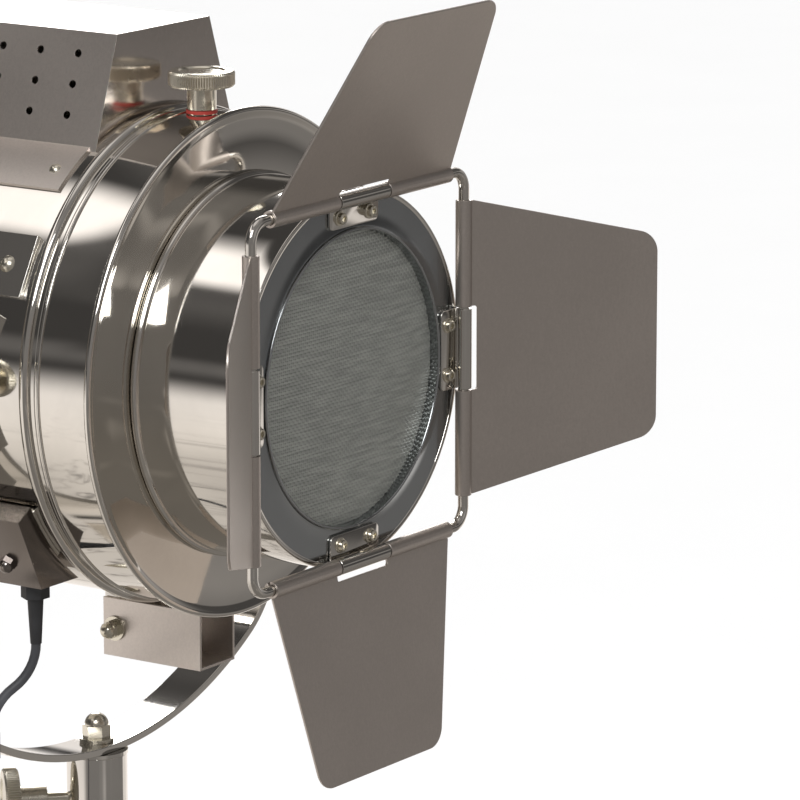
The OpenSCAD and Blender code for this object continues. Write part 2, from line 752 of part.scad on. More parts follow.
module bulb() {
    color([0.96, 0.94, 0.86]) at_head() along_lens(holder_y - 12.5) mirror([0, 0, 1])
        rotate_extrude($fn = 64) polygon(concat(
            [[0, 0], [6, 0], [13.3, 5], [13.3, 31], [15, 37], [20, 46]],
            arc([0, 66], 30, -28, 90, 20)));
}

module switch_body() {
    color(rubber) at_head() translate([switch_x, 0, switch_z]) difference() {
        union() {
            along_lens(cap_y + 11) cylinder(r = 6, h = 12);
            along_lens(cap_y - 12) cylinder(r = 11, h = 23.8, $fn = 6);
            along_lens(cap_y + 15.6) cylinder(r = 8.5, h = 2.5, $fn = 6);
        }
        along_lens(cap_y + 16) cylinder(r1 = 2.6, r2 = 5, h = 8);
        translate([0, cap_y + 18, 0]) along_x(-4.6) cylinder(r = lever_pin_r + run_gap, h = 9.2);
    }
}

module switch_lever() {
    color(warm_nickel) at_head() translate([switch_x, cap_y + 18, switch_z]) {
        along_x(-4.5) cylinder(r = lever_pin_r, h = 9);
        rotate([12, 0, 0]) {
            sphere(r = 1.8, $fn = 32);
            along_lens() cylinder(r = 1.5, h = 14);
            along_lens(13) cylinder(r = 2.4, h = 5);
        }
    }
}

// ---------- front section ----------

module front_pan() {
    color(nickel) at_head() difference() {
        union() {
            along_lens(pan_front) rotate_extrude($fn = 128) polygon(concat(
                [[snoot_r - 6, -sheet], [flange_r - rim_r, -sheet]],
                arc([flange_r - rim_r, -sheet + rim_r], rim_r, -90, 90, 10),
                [[drum_r, 2 * rim_r - sheet], [drum_r, pan_len - seat_gap],
                 [drum_r - sheet, pan_len - seat_gap], [drum_r - sheet, 0], [snoot_r - 6, 0]]));
            // Tapered seat under the knob's washer
            translate([0, knob_y, drum_r - 1]) cylinder(r1 = 6.5, r2 = 7.8, h = knob_seat_z - drum_r + 1);
        }
        translate([0, knob_y, drum_r - 10]) cylinder(r = bolt_r + run_gap, h = 30);
    }
}

module hinge_channel() {
    color(nickel) at_head() difference() {
        block([-channel_w / 2, channel_w / 2], [channel_front, channel_back],
            [-drum_r - channel_deep, -drum_r + 4]);
        block([-channel_w / 2 + sheet, channel_w / 2 - sheet], [channel_front - 1, channel_back + 1],
            [-drum_r - channel_deep + sheet, 0]);
        block([-40, 40], [-drum_front - seat_gap, 0], [-drum_r - 5, 0]);
        along_lens(-200) cylinder(r = drum_r, h = 400, $fn = 128);
        translate([0, hinge_y, hinge_z]) along_x(-40) cylinder(r = bolt_r + run_gap, h = 80);
    }
}

module snoot() {
    color(nickel) at_head() along_lens(snoot_front) rotate_extrude($fn = 128) polygon(concat(
        [[screen_r, -1.5], [screen_r + lip_t, -1.5], [screen_r + lip_t, 0], [snoot_r, 0]],
        [[snoot_r, snoot_len - 3]],
        arc([snoot_r, snoot_len - 1.5], 1.5, -90, 90, 8),
        [[snoot_r - sheet, snoot_len], [snoot_r - sheet, sheet], [screen_r + lip_t, sheet],
         [screen_r + lip_t, 4], [screen_r, 4]]));
}

module mesh_screen() {
    color(mesh_grey) at_head() along_lens(snoot_front + 4) rotate_extrude($fn = 96)
        polygon([[0, -3], [screen_r * 0.5, -2.2], [screen_r, 0], [screen_r + 6, 0], [screen_r + 6, 1],
            [screen_r - 0.2, 1], [screen_r * 0.5, -1.2], [0, -2]]);
}

module hinge_brackets() {
    color(nickel) for (k = [0:3]) at_door(k) difference() {
        union() {
            along_x(-bracket_w / 2) cylinder(r = knuckle_r, h = bracket_w);
            block([-bracket_w / 2, bracket_w / 2], [plate_front - frame_y, snoot_front - frame_y], [-15, 0]);
            block([-bracket_w / 2, bracket_w / 2], [rod_r + 0.4, snoot_front - frame_y - 0.6], [-3, 1]);
        }
        along_x(-60) cylinder(r = knuckle_bore_r, h = 120);
        for (s = [-1, 1]) translate([s * screw_spread, 0, -screw_in]) along_lens(-10)
            cylinder(r = screw_r + 0.05, h = 20);
    }
}

module bracket_screws() {
    color(warm_nickel) for (k = [0:3]) at_door(k) for (s = [-1, 1])
        translate([s * screw_spread, plate_front - frame_y, -screw_in]) {
            along_lens() cylinder(r = screw_r, h = 1.5);
            mirror([0, 1, 0]) along_lens() cylinder(r = 3.8, h = 2.6, $fn = 6);
            mirror([0, 1, 0]) along_lens(2.6 - eps) cylinder(r = screw_r, h = 1.4);
        }
}

module door_frame() {
    straight = frame_half - frame_bend;
    color(nickel) at_head() translate([0, frame_y, 0]) for (k = [0:3]) rotate([0, door_turns[k], 0]) {
        translate([0, 0, frame_half]) along_x(-straight) cylinder(r = rod_r, h = 2 * straight, $fn = 32);
        translate([straight, 0, straight]) rotate([90, 0, 0])
            rotate_extrude(angle = 90, $fn = 48) translate([frame_bend, 0]) circle(r = rod_r, $fn = 32);
    }
}

module top_knob() {
    color(warm_nickel) at_head() translate([0, knob_y, knob_seat_z + washer_h + 0.1]) {
        thumb_knob(7.5, 12, bolt_r, 17);
        translate([0, 0, -19]) cylinder(r = 5, h = 3);
    }
}

module knob_washer() {
    color(washer_red) at_head() translate([0, knob_y, knob_seat_z]) difference() {
        cylinder(r = 8, h = washer_h);
        translate([0, 0, -1]) cylinder(r = bolt_r + 0.2, h = washer_h + 2);
    }
}

// Leaf of a barn door in its own plane: hinge along X, leaf standing up in +Z
module door_leaf() {
    root = knuckle_r - 0.6;
    tip_x = door_tip_w / 2;
    slope = (door_w - door_tip_w) / 2 / (door_len - root);
    lean = atan(slope);
    c = [tip_x - door_corner * (1 - sin(lean)) / cos(lean) , door_len - door_corner];
    right = concat([[0, root], [door_w / 2, root]], arc(c, door_corner, lean, 90, 8), [[0, door_len]]);
    difference() {
        union() {
            polygon(right);
            mirror([1, 0]) polygon(right);
        }
        translate([-bracket_w / 2 - 1, 0]) square([bracket_w + 2, knuckle_r + 3]);
    }
}

module barn_door(k) {
    color(nickel) at_door(k) rotate([door_leans[k], 0, 0]) difference() {
        union() {
            translate([0, door_t / 2, 0]) rotate([90, 0, 0]) linear_extrude(door_t) door_leaf();
            for (s = [-1, 1]) along_x(s > 0 ? bracket_w / 2 + 0.5 : -door_w / 2)
                cylinder(r = knuckle_r, h = door_w / 2 - bracket_w / 2 - 0.5);
        }
        along_x(-100) cylinder(r = knuckle_bore_r, h = 200);
    }
}

// ---------- mains cord ----------

module cord_upper() {
    color(charcoal) at_head() cord_tube(upper_route, cord_r);
}

module cord_middle() {
    color(charcoal) at_stand() cord_tube(smooth(middle_route, 2), cord_r);
}

module cord_lower() {
    color(charcoal) at_stand() cord_tube(smooth(lower_route, 2), cord_r);
}

module cord_coil() {
    color(charcoal) at_stand() translate(coil_centre) rotate_extrude($fn = 64)
        translate([coil_mean_r - coil_half, 0]) square([2 * coil_half, coil_h]);
}

module plug() {
    relief_len = 22;
    relief_r = cord_r + 0.8;
    start = sqrt(pow(coil_mean_r + coil_half, 2) - pow(coil_side - relief_r, 2)) + 0.5;
    body = [28, 34, 20];
    color(rubber) at_stand() translate(coil_centre) rotate([0, 0, plug_turn])
        translate([-coil_side, -start, body[2] / 2]) {
            rotate([90, 0, 0]) cylinder(r1 = relief_r, r2 = 8, h = relief_len + eps);
            translate([-body[0] / 2, -relief_len - body[1], -body[2] / 2]) cube(body);
            for (x = [-9.5, 9.5]) translate([x, -relief_len - body[1] + eps, 0])
                rotate([90, 0, 0]) cylinder(r = 2.4, h = 19);
        }
}

hub();
mast_tube();
leg_pins();
mast_clips();
leg_rails(leg_turns[0]);  // leg_1_rails
leg_rails(leg_turns[1]);  // leg_2_rails
leg_rails(leg_turns[2]);  // leg_3_rails
leg_fittings(leg_turns[0]);  // leg_1_fittings
leg_fittings(leg_turns[1]);  // leg_2_fittings
leg_fittings(leg_turns[2]);  // leg_3_fittings
leg_slider(leg_turns[0]);  // leg_1_slider
leg_slider(leg_turns[1]);  // leg_2_slider
leg_slider(leg_turns[2]);  // leg_3_slider
leg_foot(leg_turns[0]);  // leg_1_foot
leg_foot(leg_turns[1]);  // leg_2_foot
leg_foot(leg_turns[2]);  // leg_3_foot
leg_knob(leg_turns[0]);  // leg_1_knob
leg_knob(leg_turns[1]);  // leg_2_knob
leg_knob(leg_turns[2]);  // leg_3_knob
yoke();
yoke_spigot();
yoke_nut();
yoke_clip();
mast_thumbscrew();
tilt_knob(-1);  // tilt_knob_left
tilt_knob(1);  // tilt_knob_right
drum();
rear_cap();
vent_housing();
vent_baffle();
case_screws();
trunnion_bracket(-1);  // trunnion_bracket_left
trunnion_bracket(1);  // trunnion_bracket_right
bracket_bolts();
terminal_box();
cord_gland();
hinge_bolt();
lampholder_bracket();
lampholder();
bulb();
switch_body();
switch_lever();
front_pan();
hinge_channel();
snoot();
mesh_screen();
hinge_brackets();
bracket_screws();
door_frame();
top_knob();
knob_washer();
barn_door(0);  // door_top
barn_door(1);  // door_right
barn_door(2);  // door_bottom
barn_door(3);  // door_left
cord_upper();
cord_middle();
cord_lower();
cord_coil();
plug();
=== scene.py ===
import json

import bmesh
import bpy
import numpy as np
from bpy.props import FloatProperty, FloatVectorProperty, IntProperty, PointerProperty
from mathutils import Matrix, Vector


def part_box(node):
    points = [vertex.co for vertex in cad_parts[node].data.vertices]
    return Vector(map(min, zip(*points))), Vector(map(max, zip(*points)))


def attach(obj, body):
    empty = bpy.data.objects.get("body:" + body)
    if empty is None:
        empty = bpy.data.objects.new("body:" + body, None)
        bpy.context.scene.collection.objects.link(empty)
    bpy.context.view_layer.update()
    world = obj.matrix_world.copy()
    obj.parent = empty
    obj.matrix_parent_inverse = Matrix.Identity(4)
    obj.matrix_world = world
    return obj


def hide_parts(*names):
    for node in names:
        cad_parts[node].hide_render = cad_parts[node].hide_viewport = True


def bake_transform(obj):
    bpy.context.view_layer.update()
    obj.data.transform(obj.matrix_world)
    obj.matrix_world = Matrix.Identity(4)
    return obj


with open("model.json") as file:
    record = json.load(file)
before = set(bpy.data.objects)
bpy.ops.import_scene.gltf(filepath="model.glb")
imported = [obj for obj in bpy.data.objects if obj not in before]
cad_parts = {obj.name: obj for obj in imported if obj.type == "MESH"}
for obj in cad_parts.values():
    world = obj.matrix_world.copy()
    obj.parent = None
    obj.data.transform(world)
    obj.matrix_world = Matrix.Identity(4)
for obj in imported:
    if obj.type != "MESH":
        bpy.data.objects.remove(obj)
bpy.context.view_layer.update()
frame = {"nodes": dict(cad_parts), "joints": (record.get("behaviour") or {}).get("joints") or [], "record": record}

bl_info = {
    "name": "Tripod Spotlight Lamp",
    "version": (1, 0, 0),
    "blender": (4, 5, 0),
    "location": "3D Viewport > Sidebar > Lamp",
    "description": "Builds the pieces and finishes of a tripod spotlight lamp around its packed frame",
    "category": "Add Mesh",
}

MM = 0.001
JOINTS = {joint["name"]: joint for joint in frame["joints"]}
HEAD = np.array(JOINTS["head_tilt"]["pos_m"]) / MM      # where the tilt axis meets the lens axis
LEGS = {1: -90, 2: 30, 3: 150}                          # heading of each leg, in degrees
LEG_ANGLE = 22
# Name, heading and lean at rest of each barn door, in degrees
DOORS = (("top", 0, 26), ("right", 90, 35), ("bottom", 180, 7), ("left", -90, 30))


def span(node):
    """Lowest and highest corner of a CAD node, in millimetres from the tilt axis."""
    low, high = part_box(node)
    return np.array(low) / MM - HEAD, np.array(high) / MM - HEAD


# ---------- places ----------

def shift(x=0.0, y=0.0, z=0.0):
    """4x4 matrix that moves a point."""
    m = np.eye(4)
    m[:3, 3] = x, y, z
    return m


def turn(axis, degrees):
    """4x4 matrix that turns a point about the X, Y or Z axis by the right-hand rule."""
    i, j = {"x": (1, 2), "y": (2, 0), "z": (0, 1)}[axis]
    c, s = np.cos(np.radians(degrees)), np.sin(np.radians(degrees))
    m = np.eye(4)
    m[i, i], m[i, j], m[j, i], m[j, j] = c, -s, s, c
    return m


AT_HEAD = shift(*HEAD)
UPRIGHT = np.array([[0, 0, 1, 0], [1, 0, 0, 0], [0, 1, 0, 0], [0, 0, 0, 1.0]])      # XYZ of a slab become YZX
ALONG_LENS = turn("x", -90)                             # local +Z points back along the lens axis
ALONG_X = turn("y", 90)                                 # local +Z points along +X


def at_door(k):
    """Frame of barn door k (top, right, bottom, left): hinge rod along X, the door stands up in +Z."""
    name, heading, _ = DOORS[k]
    pivot = np.array(JOINTS[f"barn_{name}_hinge"]["pos_m"]) / MM
    return shift(*pivot) @ turn("y", heading)


def at_leg(number):
    """Frame of a leg: origin in its hinge, -Z runs down the leg."""
    hinge = np.array(JOINTS[f"leg_{number}_fold"]["pos_m"]) / MM
    return shift(*hinge) @ turn("z", LEGS[number]) @ turn("y", -LEG_ANGLE)


# ---------- shapes: (points, faces) in millimetres ----------

def grid_shape(points, wrap_u=False, wrap_v=False, caps=False):
    """Quads between neighbours of a grid of points (u, v, 3). Wrapping joins the last row to the first,
    and caps close the rings of v."""
    nu, nv = points.shape[:2]
    u = np.arange(nu if wrap_u else nu - 1)
    v = np.arange(nv if wrap_v else nv - 1)
    u, v = np.meshgrid(u, v, indexing="ij")
    a, b = (u % nu), ((u + 1) % nu)
    c, d = (v % nv), ((v + 1) % nv)
    faces = np.stack([a * nv + c, b * nv + c, b * nv + d, a * nv + d], -1).reshape(-1, 4).tolist()
    if caps:
        faces += [list(range(nv))[::-1], list(range((nu - 1) * nv, nu * nv))]
    return points.reshape(-1, 3), faces


def moved(shape, matrix):
    """The shape after a 4x4 matrix."""
    points, faces = shape
    return points @ matrix[:3, :3].T + matrix[:3, 3], faces


def joined(*shapes):
    """Several shapes as one."""
    points, faces, start = [], [], 0
    for p, f in shapes:
        points.append(p)
        faces += [[i + start for i in face] for face in f]
        start += len(p)
    return np.concatenate(points), faces


def fillet(corners, radius, steps=4, closed=True):
    """Outline with each corner replaced by an arc of that radius, tangent to both sides.
    A corner's arc is a quadratic curve from radius*tan(half turn) before it to the same after it."""
    p = np.array(corners, float)
    n = len(p)
    radius = np.broadcast_to(np.array(radius, float), n)
    out = []
    for i in range(n):
        if radius[i] <= 0 or (not closed and i in (0, n - 1)):
            out.append(p[i][None])
            continue
        a, b = p[i - 1] - p[i], p[(i + 1) % n] - p[i]
        la, lb = np.linalg.norm(a), np.linalg.norm(b)
        a, b = a / la, b / lb
        half = np.arccos(np.clip(a @ b, -1, 1)) / 2
        back = min(radius[i] / np.tan(half), la * 0.49, lb * 0.49)
        r = back * np.tan(half)
        middle = p[i] + (a + b) / np.linalg.norm(a + b) * (r / np.sin(half))
        s, e = p[i] + a * back - middle, p[i] + b * back - middle
        t = np.linspace(0, 1, steps + 1)[:, None]
        arc = s * (1 - t) + e * t
        arc = arc / np.linalg.norm(arc, axis=1)[:, None] * r
        out.append(middle + arc)
    return np.concatenate(out)


def arc(centre, radius, start, end, steps):
    """Points of an arc in a plane, in degrees."""
    a = np.radians(np.linspace(start, end, steps + 1))
    return np.stack([centre[0] + radius * np.cos(a), centre[1] + radius * np.sin(a)], 1)


def lathe(profile, steps=128, closed=True, wobble=None):
    """The (r, z) profile turned about Z: x = r cos a, y = r sin a.
    wobble(a, profile) gives each point's own r."""
    profile = np.array(profile, float)
    a = np.linspace(0, 2 * np.pi, steps, endpoint=False)
    r = np.broadcast_to(profile[None, :, 0], (steps, len(profile)))
    if wobble is not None:
        r = wobble(a[:, None], profile)
    grid = np.stack([r * np.cos(a)[:, None], r * np.sin(a)[:, None],
                     np.broadcast_to(profile[None, :, 1], r.shape)], -1)
    return grid_shape(grid, wrap_u=True, wrap_v=closed)


def inset(outline, depth):
    """A closed outline moved inwards by depth along the bisectors of its corners."""
    before, after = np.roll(outline, 1, 0), np.roll(outline, -1, 0)
    d0, d1 = outline - before, after - outline
    d0 /= np.linalg.norm(d0, axis=1)[:, None]
    d1 /= np.linalg.norm(d1, axis=1)[:, None]
    n0, n1 = np.stack([-d0[:, 1], d0[:, 0]], 1), np.stack([-d1[:, 1], d1[:, 0]], 1)
    n = n0 + n1
    n /= np.maximum(np.sum(n * n0, 1), 0.3)[:, None]
    area = np.sum(outline[:, 0] * after[:, 1] - after[:, 0] * outline[:, 1])
    return outline + n * depth * np.sign(area)


def slab(outline, thick, edge=0.5, steps=3):
    """A closed outline in XY raised from z = 0 to thick, its edges rounded: at the rounding's angle t
    the outline is set in by edge (1 - sin t) and lies edge (1 - cos t) from the face."""
    t = np.linspace(0, np.pi / 2, steps + 1)
    rings = [(edge * (1 - np.sin(a)), edge * (1 - np.cos(a))) for a in t]
    rings += [(i, thick - z) for i, z in rings[::-1]]
    grid = np.stack([np.column_stack([inset(outline, i), np.full(len(outline), z)]) for i, z in rings])
    return grid_shape(grid, wrap_v=True, caps=True)


def frames_along(path, closed=False):
    """Unit tangents and two cross directions carried along a path without twist."""
    p = np.array(path, float)
    tangent = np.gradient(p, axis=0)
    if closed:
        tangent = np.roll(p, -1, 0) - np.roll(p, 1, 0)
    tangent /= np.linalg.norm(tangent, axis=1)[:, None]
    side = np.zeros_like(p)
    first = np.cross(tangent[0], [0, 1, 0] if abs(tangent[0][1]) < 0.9 else [1, 0, 0])
    side[0] = first / np.linalg.norm(first)
    for i in range(1, len(p)):
        s = side[i - 1] - tangent[i] * (side[i - 1] @ tangent[i])
        side[i] = s / np.linalg.norm(s)
    return tangent, side, np.cross(tangent, side)


def tube(path, radius, sides=16, closed=False):
    """A round tube along a path: centre + radius (cos a side + sin a up)."""
    path = np.array(path, float)
    _, side, up = frames_along(path, closed)
    a = np.linspace(0, 2 * np.pi, sides, endpoint=False)
    radius = np.broadcast_to(np.array(radius, float), len(path))[:, None, None]
    grid = path[:, None] + radius * (np.cos(a)[None, :, None] * side[:, None]
                                     + np.sin(a)[None, :, None] * up[:, None])
    return grid_shape(grid, wrap_u=closed, wrap_v=True, caps=not closed)


def smooth_route(points, steps):
    """Catmull-Rom curve through the points: each span is a cubic whose end slopes are half the chord
    between its neighbours."""
    p = np.array(points, float)
    p = np.concatenate([p[:1], p, p[-1:]])
    t = np.linspace(0, 1, steps, endpoint=False)[None, :, None]
    a, b, c, d = p[:-3, None], p[1:-2, None], p[2:-1, None], p[3:, None]
    curve = 0.5 * (2 * b + (c - a) * t + (2 * a - 5 * b + 4 * c - d) * t**2
                   + (3 * b - a - 3 * c + d) * t**3)
    return np.concatenate([curve.reshape(-1, 3), p[-1:]])


# ---------- shader maths ----------

class Value:
    """A node's output socket. Arithmetic on numbers adds Math nodes."""

    def __init__(self, surface, socket):
        self.surface, self.socket = surface, socket

    def _math(self, operation, *values):
        return self.surface.node("ShaderNodeMath", {"operation": operation}, dict(enumerate(values)))

    def __add__(self, other):
        return self._math("ADD", self, other)

    __radd__ = __add__

    def __sub__(self, other):
        return self._math("SUBTRACT", self, other)

    def __rsub__(self, other):
        return self._math("SUBTRACT", other, self)

    def __mul__(self, other):
        return self._math("MULTIPLY", self, other)

    __rmul__ = __mul__

    def step(self, low, high):
        """0 below low, 1 above high, smooth between."""
        return self.surface.node("ShaderNodeMapRange", {"interpolation_type": "SMOOTHSTEP"},
                                 {"Value": self, "From Min": low, "From Max": high})


class Surface:
    """A material being made: its node tree and its Principled shader."""

    def __init__(self, name):
        self.material = bpy.data.materials.new(name)
        self.material.use_nodes = True
        self.tree = self.material.node_tree
        self.shader = self.tree.nodes["Principled BSDF"]

    def link(self, value, socket):
        if isinstance(value, Value):
            self.tree.links.new(value.socket, socket)
        else:
            socket.default_value = value

    def node(self, kind, settings=None, inputs=None, output=0):
        """Adds a node: settings first, then the values or links of its sockets."""
        made = self.tree.nodes.new(kind)
        for key, value in (settings or {}).items():
            setattr(made, key, value)
        for key, value in (inputs or {}).items():
            self.link(value, made.inputs[key])
        return Value(self, made.outputs[output])

    def place(self, scale=(1, 1, 1), rotation=(0, 0, 0), attribute=None):
        """Object coordinates, or the piece's own attribute, through a Mapping node."""
        if attribute:
            source = self.node("ShaderNodeAttribute", {"attribute_name": attribute}, output="Vector")
        else:
            source = self.node("ShaderNodeTexCoord", output="Object")
        return self.node("ShaderNodeMapping", {}, {"Vector": source, "Scale": scale, "Rotation": rotation})

    def noise(self, where, scale, detail=2.0, rough=0.5, warp=0.0):
        """Cloudy noise from 0 to 1."""
        return self.node("ShaderNodeTexNoise", {}, {
            "Vector": where, "Scale": scale, "Detail": detail, "Roughness": rough, "Distortion": warp})

    def mix(self, factor, a, b):
        """Colour a where factor is 0, b where it is 1."""
        made = self.tree.nodes.new("ShaderNodeMix")
        made.data_type = "RGBA"
        self.link(factor, made.inputs["Factor"])
        for socket, colour in ((made.inputs[6], a), (made.inputs[7], b)):
            self.link(colour if isinstance(colour, Value) else (*colour[:3], 1.0), socket)
        return Value(self, made.outputs[2])

    def bump(self, height, distance, strength=1.0):
        """Tilts the surface by a height from 0 to 1 that stands for distance metres."""
        normal = self.node("ShaderNodeBump", {},
                           {"Height": height, "Distance": distance, "Strength": strength})
        self.link(normal, self.shader.inputs["Normal"])

    def set(self, **inputs):
        """Feeds the shader's sockets; an underscore stands for a space."""
        for key, value in inputs.items():
            self.link(value, self.shader.inputs[key.replace("_", " ")])
        return self.material


def tint(colour, factor):
    """The colour times factor, no part of it above 1."""
    return tuple(min(c * factor, 1.0) for c in colour[:3])


def plated(name, colour, rough, smudge=0.05, waves=0.00012, fine=0.02, prints=0.0):
    """Nickel plate: mirror with faint smudges, hairline wipe marks, slight dishing and finger marks."""
    s = Surface(name)
    at = s.place()
    cloud = s.noise(at, 14.0, 4.0, 0.6, 0.4).step(0.42, 0.68)
    hairs = s.noise(s.place(scale=(90, 900, 160), rotation=(0.3, 0.2, 0.5)), 1.0, 2.0)
    roughness = rough + smudge * cloud + fine * hairs
    if prints:
        cell = s.node("ShaderNodeTexVoronoi", {}, {"Vector": at, "Scale": 16.0})
        ridge = s.node("ShaderNodeTexWave", {"wave_type": "RINGS"},
                       {"Vector": at, "Scale": 260.0, "Distortion": 6.0, "Detail": 1.0})
        roughness = roughness + prints * (1 - cell.step(0.12, 0.3)) * ridge
    colour_at = s.mix(cloud, colour, tint(colour, 0.93))
    s.bump(s.noise(at, 9.0, 1.5), waves, 1.0)
    return s.set(Base_Color=colour_at, Metallic=1.0, Roughness=roughness)


def satin(name, colour, rough, depth=0.000004, front=None):
    """Satin nickel sheet: fine upright brushing, soft patches and fine specks. front is the roughness
    of faces that look towards -Y, which are polished."""
    s = Surface(name)
    brush = s.noise(s.place(scale=(900, 500, 320)), 1.0, 3.0, 0.6)
    patch = s.noise(s.place(), 7.0, 3.0, 0.55, 0.3)
    speck = s.noise(s.place(), 900.0, 1.0)
    shade = (0.25 * brush + 0.55 * patch + 0.2 * speck).step(0.36, 0.64)
    s.bump(brush, depth, 0.5)
    if front is not None:
        split = s.tree.nodes.new("ShaderNodeSeparateXYZ")
        s.link(s.node("ShaderNodeTexCoord", output="Normal"), split.inputs[0])
        rough = front + (rough - front) * Value(s, split.outputs[1]).step(-0.9, -0.6)
    return s.set(Base_Color=s.mix(shade, tint(colour, 0.93), tint(colour, 1.05)),
                 Metallic=1.0, Roughness=rough + 0.07 * patch + 0.05 * brush)


def matt(name, colour, rough, grain_scale, grain_depth, spread=0.25):
    """Moulded or cast non-metal: even grain, a little mottling, worn lighter in patches."""
    s = Surface(name)
    at = s.place()
    grain = s.noise(at, grain_scale, 3.0, 0.6)
    wear = s.noise(at, 22.0, 4.0, 0.6, 0.3).step(0.45, 0.72)
    s.bump(grain, grain_depth, 0.7)
    return s.set(Base_Color=s.mix(wear, tint(colour, 1 - spread), tint(colour, 1 + spread)),
                 Roughness=rough + 0.12 * wear + 0.05 * grain)


def stained_wood(name, dark, light):
    """Dark stained hardwood: long pores and growth bands along the leg, satin lacquer."""
    s = Surface(name)
    at = s.place(attribute="grain", scale=(1, 1, 0.12))
    stretched = s.place(attribute="grain", scale=(240, 240, 3.5))
    bands = s.node("ShaderNodeTexWave", {"bands_direction": "X"},
                   {"Vector": at, "Scale": 34.0, "Distortion": 0.8, "Detail": 1.0, "Detail Scale": 0.6})
    pores = s.noise(stretched, 1.0, 4.0, 0.65)
    tone = (0.45 * bands + 0.75 * pores).step(0.35, 0.85)
    s.bump(pores, 0.00012, 0.5)
    return s.set(Base_Color=s.mix(tone, dark, light), Roughness=0.34 + 0.16 * pores, Coat_Weight=0.25)


def woven_wire(name, colour):
    """Fine steel wire: each strand a little lighter or darker, grey bloom in patches."""
    s = Surface(name)
    strand = s.noise(s.place(scale=(60, 60, 600)), 1.0, 2.0)
    bloom = s.noise(s.place(), 26.0, 3.0, 0.6)
    return s.set(Base_Color=s.mix(strand.step(0.3, 0.7), tint(colour, 0.85), tint(colour, 1.15)),
                 Metallic=0.75, Roughness=0.36 + 0.12 * bloom)


def pearl_glass(name, colour):
    """Pearl glass bulb: thin milky coat with faint clouding."""
    s = Surface(name)
    cloud = s.noise(s.place(), 30.0, 3.0)
    return s.set(Base_Color=s.mix(cloud, tint(colour, 0.92), colour), Roughness=0.16 + 0.12 * cloud,
                 Coat_Weight=0.6)


FINISHES = {}


def finish(name):
    """The material of that name, made once."""
    if name not in FINISHES:
        c = bpy.context.scene.lamp_finish
        nickel, warm = tuple(c.nickel), tuple(c.warm_nickel)
        FINISHES[name] = {
            "nickel_mirror": lambda: plated(name, nickel, 0.045, prints=0.05),
            "nickel_spun": lambda: plated(name, nickel, 0.035, 0.04, 0.0002, 0.012),
            "nickel_rod": lambda: plated(name, tint(nickel, 0.92), 0.09, 0.05, 0.00003, 0.03),
            "nickel_ring": lambda: plated(name, (0.40, 0.42, 0.43), 0.09, 0.08, 0.0011, 0.03),
            "nickel_satin": lambda: satin(name, tuple(c.door), 0.36),
            "nickel_brushed": lambda: satin(name, (0.76, 0.70, 0.65), 0.33, 0.0000005, 0.06),
            "nickel_dark": lambda: plated(name, (0.26, 0.235, 0.22), 0.12, 0.08, 0.0001, 0.04),
            "nickel_warm": lambda: plated(name, warm, 0.2, 0.1, 0.00003, 0.06),
            "rubber_black": lambda: matt(name, (0.022, 0.022, 0.024), 0.55, 900.0, 0.00004),
            "cord_charcoal": lambda: matt(name, tuple(c.cord), 0.42, 700.0, 0.00003),
            "washer_red": lambda: matt(name, (0.36, 0.035, 0.025), 0.6, 1200.0, 0.00005),
            "ceramic_white": lambda: matt(name, (0.80, 0.78, 0.74), 0.18, 500.0, 0.00002, 0.04),
            "bulb_pearl": lambda: pearl_glass(name, (0.93, 0.90, 0.82)),
            "wood_dark": lambda: stained_wood(name, (0.010, 0.005, 0.003), (0.050, 0.024, 0.013)),
            "steel_weave": lambda: woven_wire(name, tuple(c.weave)),
            # Near-black of the disc behind the screen: painted shade for the shadowed inside of the drum
            "screen_painted_shade": lambda: matt(name, (0.03, 0.032, 0.03), 0.8, 900.0, 0.00002),
        }[name]()
    return FINISHES[name]


# ---------- making pieces ----------

def piece(name, shape, material, body, stands_for=(), matrix=None, sharp=35):
    """A mesh object in metres from a shape: doubles merged, faces turned outwards, ridden on its body."""
    points, faces = shape if matrix is None else moved(shape, matrix)
    mesh = bpy.data.meshes.new(name)
    mesh.from_pydata((points * MM).tolist(), [], faces)
    work = bmesh.new()
    work.from_mesh(mesh)
    bmesh.ops.remove_doubles(work, verts=work.verts, dist=2e-7)
    bmesh.ops.recalc_face_normals(work, faces=work.faces)
    work.to_mesh(mesh)
    work.free()
    return finished(name, mesh, material, body, stands_for, sharp)


def finished(name, mesh, material, body, stands_for, sharp=35):
    """The object of a mesh: smooth up to the sharp angle, with its finish, body and CAD nodes."""
    mesh.shade_smooth()
    mesh.set_sharp_from_angle(angle=np.radians(sharp))
    mesh.materials.clear()
    mesh.materials.append(finish(material))
    made = bpy.data.objects.new(name, mesh)
    bpy.context.scene.collection.objects.link(made)
    if body:
        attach(made, body)
    if stands_for:
        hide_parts(*stands_for)
    return made


BODY = {node: body for body, nodes in frame["record"]["behaviour"]["bodies"].items() for node in nodes}


def softened(node, material, width, segments=2, angle=40):
    """A copy of a CAD node with its flat faces merged and every edge rounded by a Bevel modifier."""
    name = node + "_finish"
    mesh = frame["nodes"][node].data.copy()
    mesh.name = name
    work = bmesh.new()
    work.from_mesh(mesh)
    bmesh.ops.remove_doubles(work, verts=work.verts, dist=1e-6)
    bmesh.ops.dissolve_limit(work, angle_limit=np.radians(0.8), verts=work.verts, edges=work.edges)
    work.to_mesh(mesh)
    work.free()
    if "custom_normal" in mesh.attributes:
        mesh.attributes.remove(mesh.attributes["custom_normal"])
    made = finished(name, mesh, material, BODY[node], [node])
    bevel = made.modifiers.new("soft edges", "BEVEL")
    bevel.width = width * MM
    bevel.segments = segments
    bevel.limit_method = "ANGLE"
    bevel.angle_limit = np.radians(angle)
    bevel.harden_normals = True
    return made


def coat(material, *nodes):
    """Gives CAD nodes their finish."""
    for node in nodes:
        data = frame["nodes"][node].data
        data.materials.clear()
        data.materials.append(finish(material))


# ---------- settings ----------

